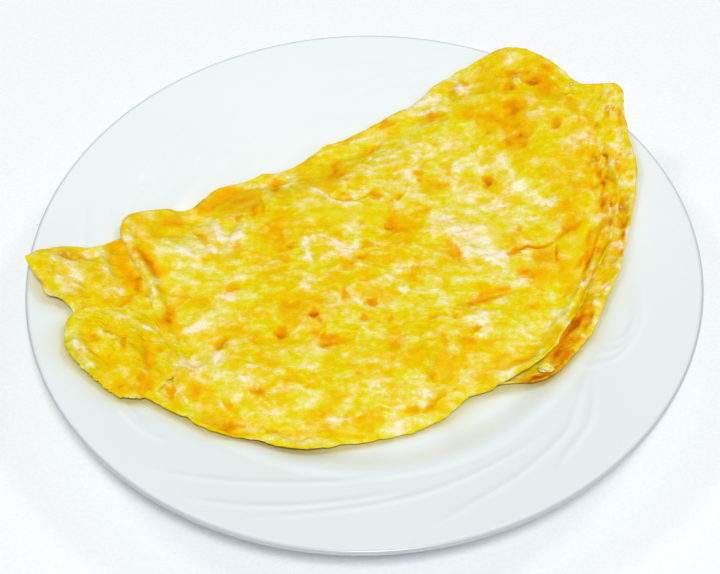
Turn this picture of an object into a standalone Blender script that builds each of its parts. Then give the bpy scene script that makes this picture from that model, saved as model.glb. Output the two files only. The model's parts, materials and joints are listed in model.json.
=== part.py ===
"""A folded omelette lying on its round porcelain plate.

The plate is one turned solid.  The omelette is one solid too: an egg sheet folded over
itself, so an upper leaf lies on a lower leaf, with a small side flap at one end.
Metres, +Z up.  The plate stands on z = 0 and its centre is the origin.
"""
import math

import bmesh
import bpy
import numpy as np

MM = 0.001

# ---- the plate: radius and height pairs down the outside, from the middle of the well
# ---- out over the rim and back under it to the middle of the underside
PLATE_STEPS = 72
WELL_TOP = 6.0
WELL_RADIUS = 66.0
SHOULDER_RADIUS = 81.6
SHOULDER_TOP = 11.5
RIM_RADIUS = 115.0
RIM_SLOPE = 0.2765
RIM_TOP = 20.9
WALL = 3.8
FOOT_INNER = 62.4
FOOT_OUTER = 65.6
FOOT_EASE = 0.5

# ---- the omelette
AIR_GAP = 0.45              # between the egg and the plate
BRIDGE = 0.6                # how much further the egg clears the wall and rim that it spans
SPAN = 6.0                  # the egg evens out the plate's bends over this distance
LIP_CLEARANCE = 0.7         # extra height where the egg passes over the plate's lip
EDGE_LOW = 0.3              # height of a leaf's outermost edge, as a share of its thickness
LOWER_THICK = 4.8
UPPER_THICK = 5.4
FLAP_THICK = 5.0
BITE = 0.9                  # how deep one leaf is sunk into the one below, where joined
LEAF_OPENING = 1.5          # height of the slit between the leaves at their open edge
OPEN_DEPTH = 9.0            # how far the slit reaches in
DRAPE = 12.0                # width over which a leaf settles down past the one below

# Outlines in millimetres, anticlockwise, seen from above.
LOWER_OUTLINE = (
    (-114.8, 0), (-113, -4), (-109, -7), (-105, -12), (-98, -17), (-95, -26), (-90, -38),
    (-80, -46), (-70, -52), (-61, -57), (-46, -61), (-20, -63), (6, -60), (26, -52),
    (38, -45), (50, -43), (58, -44), (66, -39), (75, -28), (82, -14), (89, 2), (94, 20),
    (98, 38), (97, 52), (96, 66), (96, 76), (91, 80), (80, 82), (62, 92), (40, 90),
    (20, 79), (0, 67), (-20, 56), (-42, 44), (-62, 30), (-85, 19), (-92, 14), (-102, 11),
    (-109, 7),
)
UPPER_OUTLINE = (
    (-85, 23), (-82, 14), (-77, 3), (-71, -11), (-66, -28), (-64, -42), (-60, -56),
    (-51, -63), (-36, -66), (-22, -69), (-6, -66), (10, -63), (24, -57), (35, -48),
    (46, -44), (58, -39), (67, -28), (76, -12), (84, 4), (89, 20), (90, 34), (88, 48),
    (88, 64), (85, 78), (77, 87), (68, 97), (58, 102), (46, 99), (32, 92), (18, 82),
    (2, 74), (-15, 66), (-26, 58), (-38, 54), (-53, 46), (-62, 37), (-72, 33), (-82, 30),
)
FLAP_OUTLINE = (
    (-98, -18), (-100, -26), (-98, -35), (-91, -43), (-82, -51), (-77, -52), (-70, -50),
    (-65, -44), (-59, -36), (-57, -28), (-68, -18), (-80, -14), (-91, -14),
)
LOWER_MIDDLE = (0, 5)
UPPER_MIDDLE = (5, 12)
FLAP_MIDDLE = (-80, -32)

# Broad rises and hollows of each leaf: x, y, half-length, half-width, turn, height.
UPPER_FORMS = (
    (-48, 39, 12, 8, 35, 2.8), (-48, 22, 11, 7, 10, -2.2), (-29, 47, 8, 5, 80, -1.4),
    (-79, 14, 16, 4, -68, 1.6), (-70, 4, 12, 5, -62, -1.8), (10, 76, 34, 6, 36, 1.4),
    (46, 18, 22, 15, -20, 1.2), (30, 10, 16, 8, -40, -1.2), (62, 84, 16, 9, -20, -1.3),
    (-20, -10, 22, 14, 15, 1.2), (20, -42, 26, 9, 20, 1.0), (-44, -45, 20, 12, -10, 1.1),
    (-5, 30, 20, 12, 30, 1.3), (12, -10, 16, 9, -30, -1.0), (60, 52, 22, 12, 60, 0.9),
)
LOWER_FORMS = (
    (-101, 2, 13, 6, 15, 0.9), (-86, 4, 15, 4, -72, -1.8), (-104, -10, 8, 5, -40, 1.2),
)
FLAP_FORMS = (
    (-93, -34, 15, 3.5, -62, 1.4), (-80, -30, 12, 8, -40, -1.2), (-70, -42, 9, 3, 60, 1.2),
)
TIP_LIFT = (-114, 0, 17, 14, 0, 3.6)
CORNER_LIFT = (92, 66, 20, 14, 60, 1.0)


# ---------------------------------------------------------------- scene and materials
def clear_scene():
    for item in list(bpy.data.objects):
        bpy.data.objects.remove(item, do_unlink=True)


def new_collection(name):
    group = bpy.data.collections.new(name)
    bpy.context.scene.collection.children.link(group)
    return group


def material(name, colour, roughness):
    skin = bpy.data.materials.new(name)
    skin.use_nodes = True
    shader = skin.node_tree.nodes["Principled BSDF"]
    shader.inputs["Base Color"].default_value = (*colour, 1.0)
    shader.inputs["Roughness"].default_value = roughness
    shader.inputs["Metallic"].default_value = 0.0
    skin.diffuse_color = (*colour, 1.0)
    return skin


def new_object(name, bm, group, skin):
    mesh = bpy.data.meshes.new(name)
    bmesh.ops.recalc_face_normals(bm, faces=bm.faces)
    bm.to_mesh(mesh)
    bm.free()
    mesh.materials.append(skin)
    item = bpy.data.objects.new(name, mesh)
    group.objects.link(item)
    return item


# ---------------------------------------------------------------- plate
def rim_height(radius):
    """Height of the plate's sloping rim at a radius, in millimetres."""
    return SHOULDER_TOP + RIM_SLOPE * (radius - SHOULDER_RADIUS)


def wall_height(part):
    """Height of the wall between well and rim, part running from 0 to 1 across it."""
    return WELL_TOP + (0.5 - 0.5 * np.cos(math.pi * part)) * (SHOULDER_TOP - WELL_TOP)


def plate_height(radius):
    """Height of the plate's upper side at a radius."""
    part = (radius - WELL_RADIUS) / (SHOULDER_RADIUS - WELL_RADIUS)
    wall = wall_height(np.clip(part, 0.0, 1.0))
    return np.where(radius > SHOULDER_RADIUS, rim_height(radius), wall)


def plate_profile():
    lip = RIM_RADIUS
    upper = [(0.0, WELL_TOP), (WELL_RADIUS - 4.0, WELL_TOP)]
    for part in (0.12, 0.35, 0.62, 0.86):
        radius = WELL_RADIUS + part * (SHOULDER_RADIUS - WELL_RADIUS)
        upper.append((radius, float(wall_height(part))))
    upper.append((SHOULDER_RADIUS + 3.0, rim_height(SHOULDER_RADIUS + 3.0)))
    upper.append((lip - 5.0, rim_height(lip - 5.0)))
    upper.append((lip - 2.2, RIM_TOP - 0.2))
    upper.append((lip - 1.0, RIM_TOP))
    upper.append((lip, RIM_TOP - 1.0))
    upper.append((lip - 0.6, RIM_TOP - 2.0))
    under = [(lip - 6.0, rim_height(lip - 6.0) - WALL)]
    under.append((SHOULDER_RADIUS + 1.5, SHOULDER_TOP - WALL + 0.3))
    under.append((FOOT_OUTER + 5.0, WELL_TOP - WALL + 1.3))
    under.append((FOOT_OUTER + FOOT_EASE, FOOT_EASE))
    under.append((FOOT_OUTER, 0.0))
    under.append((FOOT_INNER, 0.0))
    under.append((FOOT_INNER - FOOT_EASE, FOOT_EASE))
    under.append((FOOT_INNER - 1.5, WELL_TOP - WALL))
    under.append((0.0, WELL_TOP - WALL))
    return upper + under


def build_plate(group):
    bm = bmesh.new()
    last = None
    for radius, height in plate_profile():
        vertex = bm.verts.new((radius * MM, 0.0, height * MM))
        if last is not None:
            bm.edges.new((last, vertex))
        last = vertex
    glaze = material("porcelain", (0.86, 0.90, 0.91), 0.12)
    plate = new_object("plate", bm, group, glaze)
    turn = plate.modifiers.new("turn", "SCREW")
    turn.axis = "Z"
    turn.steps = PLATE_STEPS
    turn.render_steps = PLATE_STEPS
    turn.use_merge_vertices = True
    turn.merge_threshold = 0.00005
    turn.use_normal_calculate = True
    return plate


# ---------------------------------------------------------------- omelette
def smooth_closed(points, samples):
    """A closed Catmull-Rom curve through the points, sampled evenly along its length."""
    knots = np.array(points, dtype=float)
    steps = 16
    fine = []
    for index in range(len(knots)):
        before, here, after, later = (knots[(index + k) % len(knots)] for k in (-1, 0, 1, 2))
        for step in range(steps):
            t = step / steps
            bend = 2.0 * here + (after - before) * t
            bend = bend + (2.0 * before - 5.0 * here + 4.0 * after - later) * t ** 2
            bend = bend + (3.0 * here - before - 3.0 * after + later) * t ** 3
            fine.append(0.5 * bend)
    fine = np.array(fine + fine[:1])
    lengths = np.hypot(*np.diff(fine, axis=0).T)
    along = np.concatenate(([0.0], np.cumsum(lengths)))
    wanted = np.linspace(0.0, along[-1], samples, endpoint=False)
    return np.stack([np.interp(wanted, along, fine[:, axis]) for axis in (0, 1)], axis=1)


def distance_inside(points, outline):
    """Distance from each point to the outline in millimetres, negative when outside."""
    start = outline
    step = np.roll(outline, -1, axis=0) - outline
    offset = points[:, None, :] - start[None]
    reach = (offset * step).sum(axis=2) / (step ** 2).sum(axis=1)
    nearest = offset - np.clip(reach, 0.0, 1.0)[..., None] * step
    distance = np.hypot(nearest[..., 0], nearest[..., 1]).min(axis=1)
    end = start + step
    crosses = (start[None, :, 1] > points[:, None, 1]) != (end[None, :, 1] > points[:, None, 1])
    slope = step[:, 0] / np.where(np.abs(step[:, 1]) < 1e-9, 1e-9, step[:, 1])
    side = points[:, None, 0] < start[None, :, 0] + (points[:, None, 1] - start[None, :, 1]) * slope
    inside = (crosses & side).sum(axis=1) % 2 == 1
    return np.where(inside, distance, -distance)


def ease(value, low, high):
    """0 below low, 1 above high, smooth between."""
    part = np.clip((value - low) / (high - low), 0.0, 1.0)
    return part * part * (3.0 - 2.0 * part)


def form(points, centre_x, centre_y, half_length, half_width, turn, height):
    """A smooth oval rise (or, with a negative height, a hollow)."""
    angle = math.radians(turn)
    dx = points[:, 0] - centre_x
    dy = points[:, 1] - centre_y
    along = (dx * math.cos(angle) + dy * math.sin(angle)) / half_length
    across = (dy * math.cos(angle) - dx * math.sin(angle)) / half_width
    return height * np.exp(-1.2 * (along ** 2 + across ** 2))


def resting_height(points):
    """Height of the egg's underside: it follows the plate but evens out its bends."""
    radius = np.hypot(points[:, 0], points[:, 1])
    steps = np.linspace(-SPAN, SPAN, 5)
    surface = np.mean([plate_height(radius + step) for step in steps], axis=0)
    lifted = surface + AIR_GAP + BRIDGE * ease(radius, 60.0, 74.0)
    return lifted + LIP_CLEARANCE * ease(radius, 98.0, 111.0)


def edge_fraction(distance, edge_width):
    """The rounded edge of a leaf: 0 at its outline, 1 where it has its full thickness."""
    part = np.clip(distance / edge_width, 0.0, 1.0)
    return np.sqrt(1.0 - (1.0 - part) ** 2)


def leaf(name, outline, middle, size, thick, edge_width, base, forms, group, skin):
    """A ball pressed flat into an outline, lying on the surface that base gives."""
    segments, rings = size
    rim = smooth_closed(outline, segments)
    bm = bmesh.new()
    bmesh.ops.create_uvsphere(bm, u_segments=segments, v_segments=rings, radius=1.0)
    ball = np.array([vertex.co for vertex in bm.verts])
    spoke = np.round(np.arctan2(ball[:, 1], ball[:, 0]) / (2.0 * math.pi) * segments)
    reach = np.hypot(ball[:, 0], ball[:, 1])
    spread = rim[spoke.astype(int) % segments] - middle
    points = np.array(middle) + spread * reach[:, None]
    distance = np.maximum(distance_inside(points, smooth_closed(outline, 6 * segments)), 0.0)
    distance[reach > 0.9999] = 0.0
    full = edge_fraction(distance, edge_width)
    low = base(points) + EDGE_LOW * thick * (1.0 - full)
    high = low + thick * full
    for values in forms:
        high = high + form(points, *values) * full
    height = np.where(ball[:, 2] >= 0.0, high, low)
    for vertex, (x, y), z in zip(bm.verts, points, height):
        vertex.co = (x * MM, y * MM, z * MM)
    return new_object(name, bm, group, skin)


def lower_base(points):
    return resting_height(points) + form(points, *TIP_LIFT) + form(points, *CORNER_LIFT)


def upper_base(points):
    """The upper leaf lies on the lower one, opens at their free edge and settles past it."""
    lower = smooth_closed(LOWER_OUTLINE, 240)
    upper = smooth_closed(UPPER_OUTLINE, 240)
    covered = ease(distance_inside(points, lower), -2.0, DRAPE - 2.0)
    free_side = ease(points[:, 0], 30.0, 60.0) * (1.0 - ease(points[:, 1], 40.0, 66.0))
    slit = 1.0 - ease(distance_inside(points, upper), 0.0, OPEN_DEPTH)
    covered = np.maximum(covered, free_side * ease(distance_inside(points, lower), -4.0, 1.0))
    stacked = LOWER_THICK - BITE + (BITE + LEAF_OPENING) * slit * free_side
    return resting_height(points) + stacked * covered


def flap_base(points):
    lower = smooth_closed(LOWER_OUTLINE, 240)
    covered = ease(distance_inside(points, lower), -5.0, DRAPE - 4.0)
    return lower_base(points) + (LOWER_THICK - BITE) * covered


def build_omelette(group, helpers):
    egg = material("omelette", (0.88, 0.66, 0.02), 0.42)
    omelette = leaf("omelette", UPPER_OUTLINE, UPPER_MIDDLE, (112, 22), UPPER_THICK, 6.0,
                    upper_base, UPPER_FORMS, group, egg)
    lower = leaf("lower_leaf", LOWER_OUTLINE, LOWER_MIDDLE, (96, 16), LOWER_THICK, 5.0,
                 lower_base, LOWER_FORMS, helpers, egg)
    flap = leaf("side_flap", FLAP_OUTLINE, FLAP_MIDDLE, (44, 14), FLAP_THICK, 5.0,
                flap_base, FLAP_FORMS, helpers, egg)
    for helper in (lower, flap):
        helper.hide_render = True
        helper.display_type = "WIRE"
        join = omelette.modifiers.new("join " + helper.name, "BOOLEAN")
        join.operation = "UNION"
        join.solver = "EXACT"
        join.object = helper
    return omelette


def main():
    clear_scene()
    dish = new_collection("folded_omelette_on_plate")
    helpers = new_collection("helpers")
    build_plate(dish)
    build_omelette(dish, helpers)


main()
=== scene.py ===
# %% [markdown]
# # A folded omelette on a porcelain plate
#
# This lesson dresses a small model of a breakfast: one omelette, folded over once, lying
# across a round white plate.  The solids that carry the real sizes come in as a fixed frame.
# Over them we model a turned plate with embossed swirls and an egg sheet with its creases,
# blisters and browned patches.  Everything is in metres, with +Z up, and the plate's centre
# is at the origin.

# %% Load the frame
import json
import math

import bpy
import numpy as np
from mathutils import Matrix, Vector

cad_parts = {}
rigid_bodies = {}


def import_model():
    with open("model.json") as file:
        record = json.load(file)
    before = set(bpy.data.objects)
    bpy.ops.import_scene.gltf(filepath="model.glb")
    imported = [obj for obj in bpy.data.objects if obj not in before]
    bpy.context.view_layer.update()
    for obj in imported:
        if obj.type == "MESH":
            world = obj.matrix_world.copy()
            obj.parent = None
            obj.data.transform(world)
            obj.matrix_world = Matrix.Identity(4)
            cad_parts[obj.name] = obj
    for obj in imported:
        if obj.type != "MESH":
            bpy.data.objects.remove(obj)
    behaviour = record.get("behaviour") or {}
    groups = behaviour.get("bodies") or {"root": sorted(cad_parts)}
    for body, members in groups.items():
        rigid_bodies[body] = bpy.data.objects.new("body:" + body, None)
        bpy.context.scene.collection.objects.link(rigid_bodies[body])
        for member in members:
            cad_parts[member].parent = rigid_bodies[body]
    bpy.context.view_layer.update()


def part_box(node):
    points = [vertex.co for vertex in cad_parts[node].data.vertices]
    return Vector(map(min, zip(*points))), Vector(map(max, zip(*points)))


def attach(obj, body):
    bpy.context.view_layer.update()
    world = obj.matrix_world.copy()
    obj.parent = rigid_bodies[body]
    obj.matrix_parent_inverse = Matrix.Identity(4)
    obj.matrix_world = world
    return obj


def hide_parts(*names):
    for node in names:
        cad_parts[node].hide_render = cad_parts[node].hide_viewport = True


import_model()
MM = 0.001
plate_low, plate_high = (np.array(corner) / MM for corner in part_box("plate"))
egg_low, egg_high = (np.array(corner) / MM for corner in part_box("omelette"))
print("plate from", plate_low.round(1), "to", plate_high.round(1), "mm")
print("omelette from", egg_low.round(1), "to", egg_high.round(1), "mm")


def deselect_all():
    for item in bpy.context.scene.objects:
        item.select_set(False)


def read_places(item):
    """The places of an object's vertices, one row each, in metres."""
    places = np.empty(len(item.data.vertices) * 3)
    item.data.vertices.foreach_get("co", places)
    return places.reshape(-1, 3)


def move_vertices(item, places):
    item.data.vertices.foreach_set("co", places.ravel())
    item.data.update()


deselect_all()

# %% [markdown]
# ## Shader arithmetic
#
# A material's colours are worked out from numbers that change over the surface.  Written as
# nodes this gets long, so one small class wraps a socket: ordinary Python expressions on it
# add the Math nodes.  Colours are mixed by a Mix node, because a Math node would grey them.


# %% A socket that can be calculated with
class Socket:
    """An output socket in a material; + - * on it add Math nodes."""

    def __init__(self, tree, output):
        self.tree = tree
        self.output = output

    def maths(self, operation, *values):
        return add_node(self.tree, "ShaderNodeMath", {"operation": operation}, dict(enumerate(values)))

    def __add__(self, other):
        return self.maths("ADD", self, other)

    def __mul__(self, other):
        return self.maths("MULTIPLY", self, other)

    def __sub__(self, other):
        return self.maths("SUBTRACT", self, other)

    def __rsub__(self, other):
        return self.maths("SUBTRACT", other, self)

    __radd__ = __add__
    __rmul__ = __mul__

    def ramp(self, low, high):
        """0 below low, 1 above high, smooth between."""
        settings = {"interpolation_type": "SMOOTHSTEP"}
        values = {"Value": self, "From Min": low, "From Max": high}
        return add_node(self.tree, "ShaderNodeMapRange", settings, values, "Result")


def set_stops(scale, stops):
    """Give a colour ramp its stops, each a place from 0 to 1 and a colour."""
    while len(scale.elements) < len(stops):
        scale.elements.new(1.0)
    for element, (position, colour) in zip(scale.elements, stops):
        element.position = position
        element.color = screen_colour(*colour)


def add_node(tree, kind, settings, values, output=0):
    """A node with its settings made first, then its sockets given values or links."""
    node = tree.nodes.new(kind)
    for name, setting in settings.items():
        if name == "stops":
            set_stops(node.color_ramp, setting)
        else:
            setattr(node, name, setting)
    for name, value in values.items():
        if isinstance(value, Socket):
            tree.links.new(value.output, node.inputs[name])
        else:
            node.inputs[name].default_value = value
    return Socket(tree, node.outputs[output])


def mix_colours(first, second, amount):
    """The first colour where amount is 0, the second where it is 1."""
    settings = {"data_type": "RGBA", "clamp_factor": True}
    values = {0: amount, 6: first, 7: second}
    return add_node(amount.tree, "ShaderNodeMix", settings, values, 2)


def screen_colour(red, green, blue):
    """A colour given as the 0 to 255 numbers of a screen, as Blender's linear colour."""
    linear = [((value / 255.0 + 0.055) / 1.055) ** 2.4 for value in (red, green, blue)]
    return (*linear, 1.0)


def new_material(name):
    """A material with an empty Principled shader, and a socket with object coordinates."""
    skin = bpy.data.materials.new(name)
    skin.use_nodes = True
    tree = skin.node_tree
    shader = tree.nodes["Principled BSDF"]
    place = add_node(tree, "ShaderNodeTexCoord", {}, {}, "Object")
    return skin, tree, shader, place


def attribute(tree, name):
    """A number stored on each vertex of the mesh, read by its name."""
    return add_node(tree, "ShaderNodeAttribute", {"attribute_name": name}, {}, 2)


def noise(place, size_mm, detail, stretch=(1.0, 1.0, 1.0), offset=0.0, roughness=0.5):
    """Soft noise whose lumps are about size_mm across."""
    tree = place.tree
    scale = tuple(value / (size_mm * MM) for value in stretch)
    values = {"Vector": place, "Location": (offset, offset, offset), "Scale": scale}
    moved = add_node(tree, "ShaderNodeMapping", {}, values)
    values = {"Vector": moved, "Scale": 1.0, "Detail": detail, "Roughness": roughness}
    return add_node(tree, "ShaderNodeTexNoise", {}, values)


def colour_scale(amount, stops):
    """The colour that a scale of stops gives for a number from 0 to 1."""
    return add_node(amount.tree, "ShaderNodeValToRGB", {"stops": stops}, {0: amount})


print("shader helpers ready")

# %% [markdown]
# ## Camera and light
#
# One broad window high up in front lights the food.  Two small ones behind the table, well
# out to either side, skim over the wrinkles; straight behind, one would mirror in the flat
# well of the plate.  A pale sky, brighter overhead, fills the rest.  The camera is a long
# lens about two thirds of a metre away, looking down at fifty degrees.

# %% Camera
CAMERA_DISTANCE = 0.65
CAMERA_HEIGHT_ANGLE = 49.99
CAMERA_ROLL = -1.49
CAMERA_TARGET = Vector((-0.00143, 0.00704, 0.0))
LENS = 92.35

camera_data = bpy.data.cameras.new("camera")
camera_data.lens = LENS
camera_data.sensor_width = 36.0
camera = bpy.data.objects.new("camera", camera_data)
bpy.context.scene.collection.objects.link(camera)
tilt = Matrix.Rotation(math.radians(90.0 - CAMERA_HEIGHT_ANGLE), 4, "X")
turn = tilt @ Matrix.Rotation(math.radians(CAMERA_ROLL), 4, "Z")
back = turn @ Vector((0.0, 0.0, 1.0))
camera.matrix_world = Matrix.Translation(CAMERA_TARGET + back * CAMERA_DISTANCE) @ turn
bpy.context.scene.camera = camera
bpy.context.scene.view_settings.view_transform = "Standard"
print("camera at", [round(value, 3) for value in camera.matrix_world.translation])


# %% Lights
def window(name, place, aim, width, height, power):
    """A white rectangular light at a place, facing a point."""
    lamp = bpy.data.lights.new(name, "AREA")
    lamp.shape = "RECTANGLE"
    lamp.size = width
    lamp.size_y = height
    lamp.energy = power
    item = bpy.data.objects.new(name, lamp)
    item.location = place
    item.rotation_euler = (Vector(aim) - Vector(place)).to_track_quat("-Z", "Y").to_euler()
    bpy.context.scene.collection.objects.link(item)


OVERHEAD_POWER = 39.5
SIDE_POWER = 2.6
ZENITH_LIGHT = 0.44
window("overhead_window", (0.10, -1.20, 2.25), (0.0, 0.0, 0.0), 0.58, 0.44, OVERHEAD_POWER)
for side, name in ((-1.0, "left_window"), (1.0, "right_window")):
    window(name, (side * 0.78, 0.50, 1.00), (0.0, 0.02, 0.0), 0.30, 0.22, SIDE_POWER)
sky = bpy.data.worlds.new("sky")
sky.use_nodes = True
background = sky.node_tree.nodes["Background"]
background.inputs["Color"].default_value = (0.97, 0.99, 1.0, 1.0)
direction = add_node(sky.node_tree, "ShaderNodeTexCoord", {}, {}, "Generated")
upward = add_node(sky.node_tree, "ShaderNodeSeparateXYZ", {}, {"Vector": direction}, "Z")
brightness = upward * ZENITH_LIGHT
sky.node_tree.links.new(brightness.output, background.inputs["Strength"])
bpy.context.scene.world = sky

bpy.ops.mesh.primitive_plane_add(size=6.0, location=(0.0, 0.0, 0.0))
table_top = bpy.context.object
table_top.name = "table_top"
print("lights and table ready")

# %% [markdown]
# ## The table top
#
# Only a quiet pale ground, so that the plate's shadow shows.

# %% Table finish
skin, tree, shader, place = new_material("pale_table")
grain = noise(place, 1.2, 2.0)
shade = mix_colours(screen_colour(237, 241, 244), screen_colour(253, 254, 255), grain)
tree.links.new(shade.output, shader.inputs["Base Color"])
shader.inputs["Roughness"].default_value = 0.9
shader.inputs["Specular IOR Level"].default_value = 0.1
table_top.data.materials.append(skin)
print("table done")

# %% [markdown]
# ## The plate
#
# A potter turns a plate: one profile, spun about its axis.  We do the same: a single vertex
# is extruded along the profile, and a Screw modifier turns it.  The rings on the rim are
# close together, because the embossed swirls are pressed into them afterwards by moving
# vertices, as a mould would.  A bump map would not do: the swirls catch the light along
# their flanks and must stay when the model is seen from the side.

# %% Plate measurements, in millimetres
RIM_RADIUS = float(plate_high[0])
RIM_TOP = float(plate_high[2])
WELL_TOP = 6.0
WELL_RADIUS = 66.0
SHOULDER_RADIUS = 81.6
SHOULDER_TOP = 11.5
ROUNDING = 1.6
ROUNDING_DROP = 0.1
RIM_SLOPE = (RIM_TOP - ROUNDING_DROP - SHOULDER_TOP) / (RIM_RADIUS - ROUNDING - SHOULDER_RADIUS)
WALL = 3.8
FOOT_INNER = 62.4
FOOT_OUTER = 65.6
PLATE_SPOKES = 720


def ease(value, low, high):
    """0 below low, 1 above high, smooth between."""
    part = np.clip((value - low) / (high - low), 0.0, 1.0)
    return part * part * (3.0 - 2.0 * part)


def plate_height(radius):
    """Height of the plate's upper side at a radius, up to the rounding of its edge."""
    part = np.clip((radius - WELL_RADIUS) / (SHOULDER_RADIUS - WELL_RADIUS), 0.0, 1.0)
    wall = WELL_TOP + (0.5 - 0.5 * np.cos(math.pi * part)) * (SHOULDER_TOP - WELL_TOP)
    rim = SHOULDER_TOP + RIM_SLOPE * (radius - SHOULDER_RADIUS)
    blend = ease(radius, SHOULDER_RADIUS - 3.0, SHOULDER_RADIUS + 3.0)
    return wall * (1.0 - blend) + np.maximum(rim, WELL_TOP) * blend


def plate_profile():
    """Radius and height pairs from the middle of the well, out, and back underneath."""
    rounding_start = RIM_RADIUS - ROUNDING
    radii = np.concatenate((np.linspace(4.0, WELL_RADIUS - 4.0, 14),
                            np.linspace(WELL_RADIUS - 3.0, SHOULDER_RADIUS + 2.0, 22),
                            np.linspace(SHOULDER_RADIUS + 2.6, rounding_start, 60)))
    pairs = [(0.0, WELL_TOP)] + [(radius, float(plate_height(radius))) for radius in radii]
    edge = ((1.1, 0.0), (0.7, 0.08), (0.35, 0.32), (0.08, 0.75), (0.0, 1.2),
            (0.1, 1.7), (0.5, 2.2), (1.2, 2.7), (2.6, 3.4))
    pairs += [(RIM_RADIUS - inward, RIM_TOP - down) for inward, down in edge]
    under_radii = np.linspace(RIM_RADIUS - 7.0, SHOULDER_RADIUS, 8)
    pairs += [(radius, float(plate_height(radius)) - WALL) for radius in under_radii]
    pairs += [(76.0, 5.3), (71.0, 3.7), (68.0, 2.9), (66.6, 2.0), (66.0, 0.7), (FOOT_OUTER, 0.15),
              (FOOT_OUTER - 0.5, 0.0), (FOOT_INNER + 0.5, 0.0), (FOOT_INNER, 0.15),
              (FOOT_INNER - 0.5, 0.7), (FOOT_INNER - 0.9, 1.6), (FOOT_INNER - 2.5, WELL_TOP - WALL),
              (30.0, WELL_TOP - WALL), (0.0, WELL_TOP - WALL)]
    return pairs


profile = plate_profile()
print("plate profile has", len(profile), "rings")


# %% Turn the plate
def turned(name, pairs, spokes):
    """A profile drawn by extruding one vertex from point to point, then spun about the axis."""
    deselect_all()
    bpy.ops.mesh.primitive_plane_add(size=MM, location=(0.0, 0.0, 0.0))
    item = bpy.context.object
    item.name = name
    bpy.ops.object.mode_set(mode="EDIT")
    bpy.ops.mesh.select_all(action="SELECT")
    bpy.ops.mesh.merge(type="CENTER")
    radius, height = 0.0, 0.0
    for next_radius, next_height in pairs:
        move = ((next_radius - radius) * MM, 0.0, (next_height - height) * MM)
        if radius == 0.0 and height == 0.0:
            bpy.ops.transform.translate(value=move)
        else:
            bpy.ops.mesh.extrude_region_move(TRANSFORM_OT_translate={"value": move})
        radius, height = next_radius, next_height
    bpy.ops.object.mode_set(mode="OBJECT")
    screw = item.modifiers.new("turning", "SCREW")
    screw.axis = "Z"
    screw.steps = spokes
    screw.render_steps = spokes
    screw.use_merge_vertices = True
    screw.merge_threshold = 0.01 * MM
    bpy.ops.object.modifier_apply(modifier=screw.name)
    bpy.ops.object.mode_set(mode="EDIT")
    bpy.ops.mesh.select_all(action="SELECT")
    bpy.ops.mesh.normals_make_consistent(inside=False)
    bpy.ops.object.mode_set(mode="OBJECT")
    bpy.ops.object.transform_apply(location=True, rotation=True, scale=True)
    return item


plate = turned("plate_glazed", profile, PLATE_SPOKES)
print("plate has", len(plate.data.vertices), "vertices")

# %% [markdown]
# ## Embossed swirls
#
# The pattern is an ordinary one for hotel china: fine ridges that sweep along the rim and
# sink towards the well, and between them curls of nested arcs.  Each ridge is a stroke
# through a few points given as an angle and a share of the plate's radius.  The ridge is
# only about a third of a millimetre high, and tapers at both ends.

# %% Curves through points
def smooth_curve(knots, samples, closed):
    """A Catmull-Rom curve through the knots, sampled evenly along its length."""
    knots = np.array(knots, dtype=float)
    count = len(knots)
    spans = count if closed else count - 1
    fine = []
    for index in range(spans):
        near = [index + k for k in (-1, 0, 1, 2)]
        near = [k % count if closed else min(max(k, 0), count - 1) for k in near]
        before, here, after, later = (knots[k] for k in near)
        for t in np.linspace(0.0, 1.0, 16, endpoint=False):
            bend = 2.0 * here + (after - before) * t
            bend = bend + (2.0 * before - 5.0 * here + 4.0 * after - later) * t ** 2
            bend = bend + (3.0 * here - before - 3.0 * after + later) * t ** 3
            fine.append(0.5 * bend)
    fine.append(fine[0] if closed else knots[-1])
    fine = np.array(fine)
    along = np.concatenate(([0.0], np.cumsum(np.hypot(*np.diff(fine, axis=0).T))))
    wanted = np.linspace(0.0, along[-1], samples, endpoint=not closed)
    return np.stack([np.interp(wanted, along, fine[:, axis]) for axis in (0, 1)], axis=1)


BATCH = 6000


def nearest_on_line(points, line):
    """Distance from each point to a line of segments, and how far along the line that is."""
    start = line[:-1]
    step = np.diff(line, axis=0)
    length = np.maximum((step ** 2).sum(axis=1), 1e-12)
    distances = np.empty(len(points))
    shares = np.empty(len(points))
    for low in range(0, len(points), BATCH):
        offset = points[low:low + BATCH, None, :] - start[None]
        reach = np.clip((offset * step).sum(axis=2) / length, 0.0, 1.0)
        gap = offset - reach[..., None] * step
        distance = np.hypot(gap[..., 0], gap[..., 1])
        best = distance.argmin(axis=1)
        rows = np.arange(len(best))
        distances[low:low + BATCH] = distance[rows, best]
        shares[low:low + BATCH] = (best + reach[rows, best]) / len(start)
    return distances, shares


# %% Press the swirls into the rim
SWEEP_STROKES = (
    ((229, .931), (240, .841), (252, .766), (264, .724), (283, .706), (300, .708), (314, .722)),
    ((249.6, .926), (259, .865), (271, .818), (283, .79), (297.6, .768), (309.6, .766)),
    ((281, .921), (288, .879), (300, .841), (312, .81), (319, .774), (329, .735)),
    ((303.6, .926), (307, .879), (317, .84), (324, .79), (329, .75)),
    ((238, .945), (246, .90), (256, .845), (266, .80), (276, .775)),
)
CURL_ARC = ((-14.0, -0.125), (-12.6, -0.05), (-9.0, 0.002), (-0.6, 0.032), (8.0, 0.021), (13.0, -0.003))
SWEEP_TURNS = (0.0, 128.0, 236.0)
CURL_PLACES = ((345.0, .797, 1.0), (87.0, .860, 0.75), (158.0, .800, 0.7), (215.0, .815, 0.9))
RIDGE_HEIGHT = 0.3
RIDGE_WIDTH = 1.3


def rim_point(angle, share):
    """A point of the rim in millimetres, from an angle and a share of the radius."""
    reach = share * RIM_RADIUS
    return (reach * math.cos(math.radians(angle)), reach * math.sin(math.radians(angle)))


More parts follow.
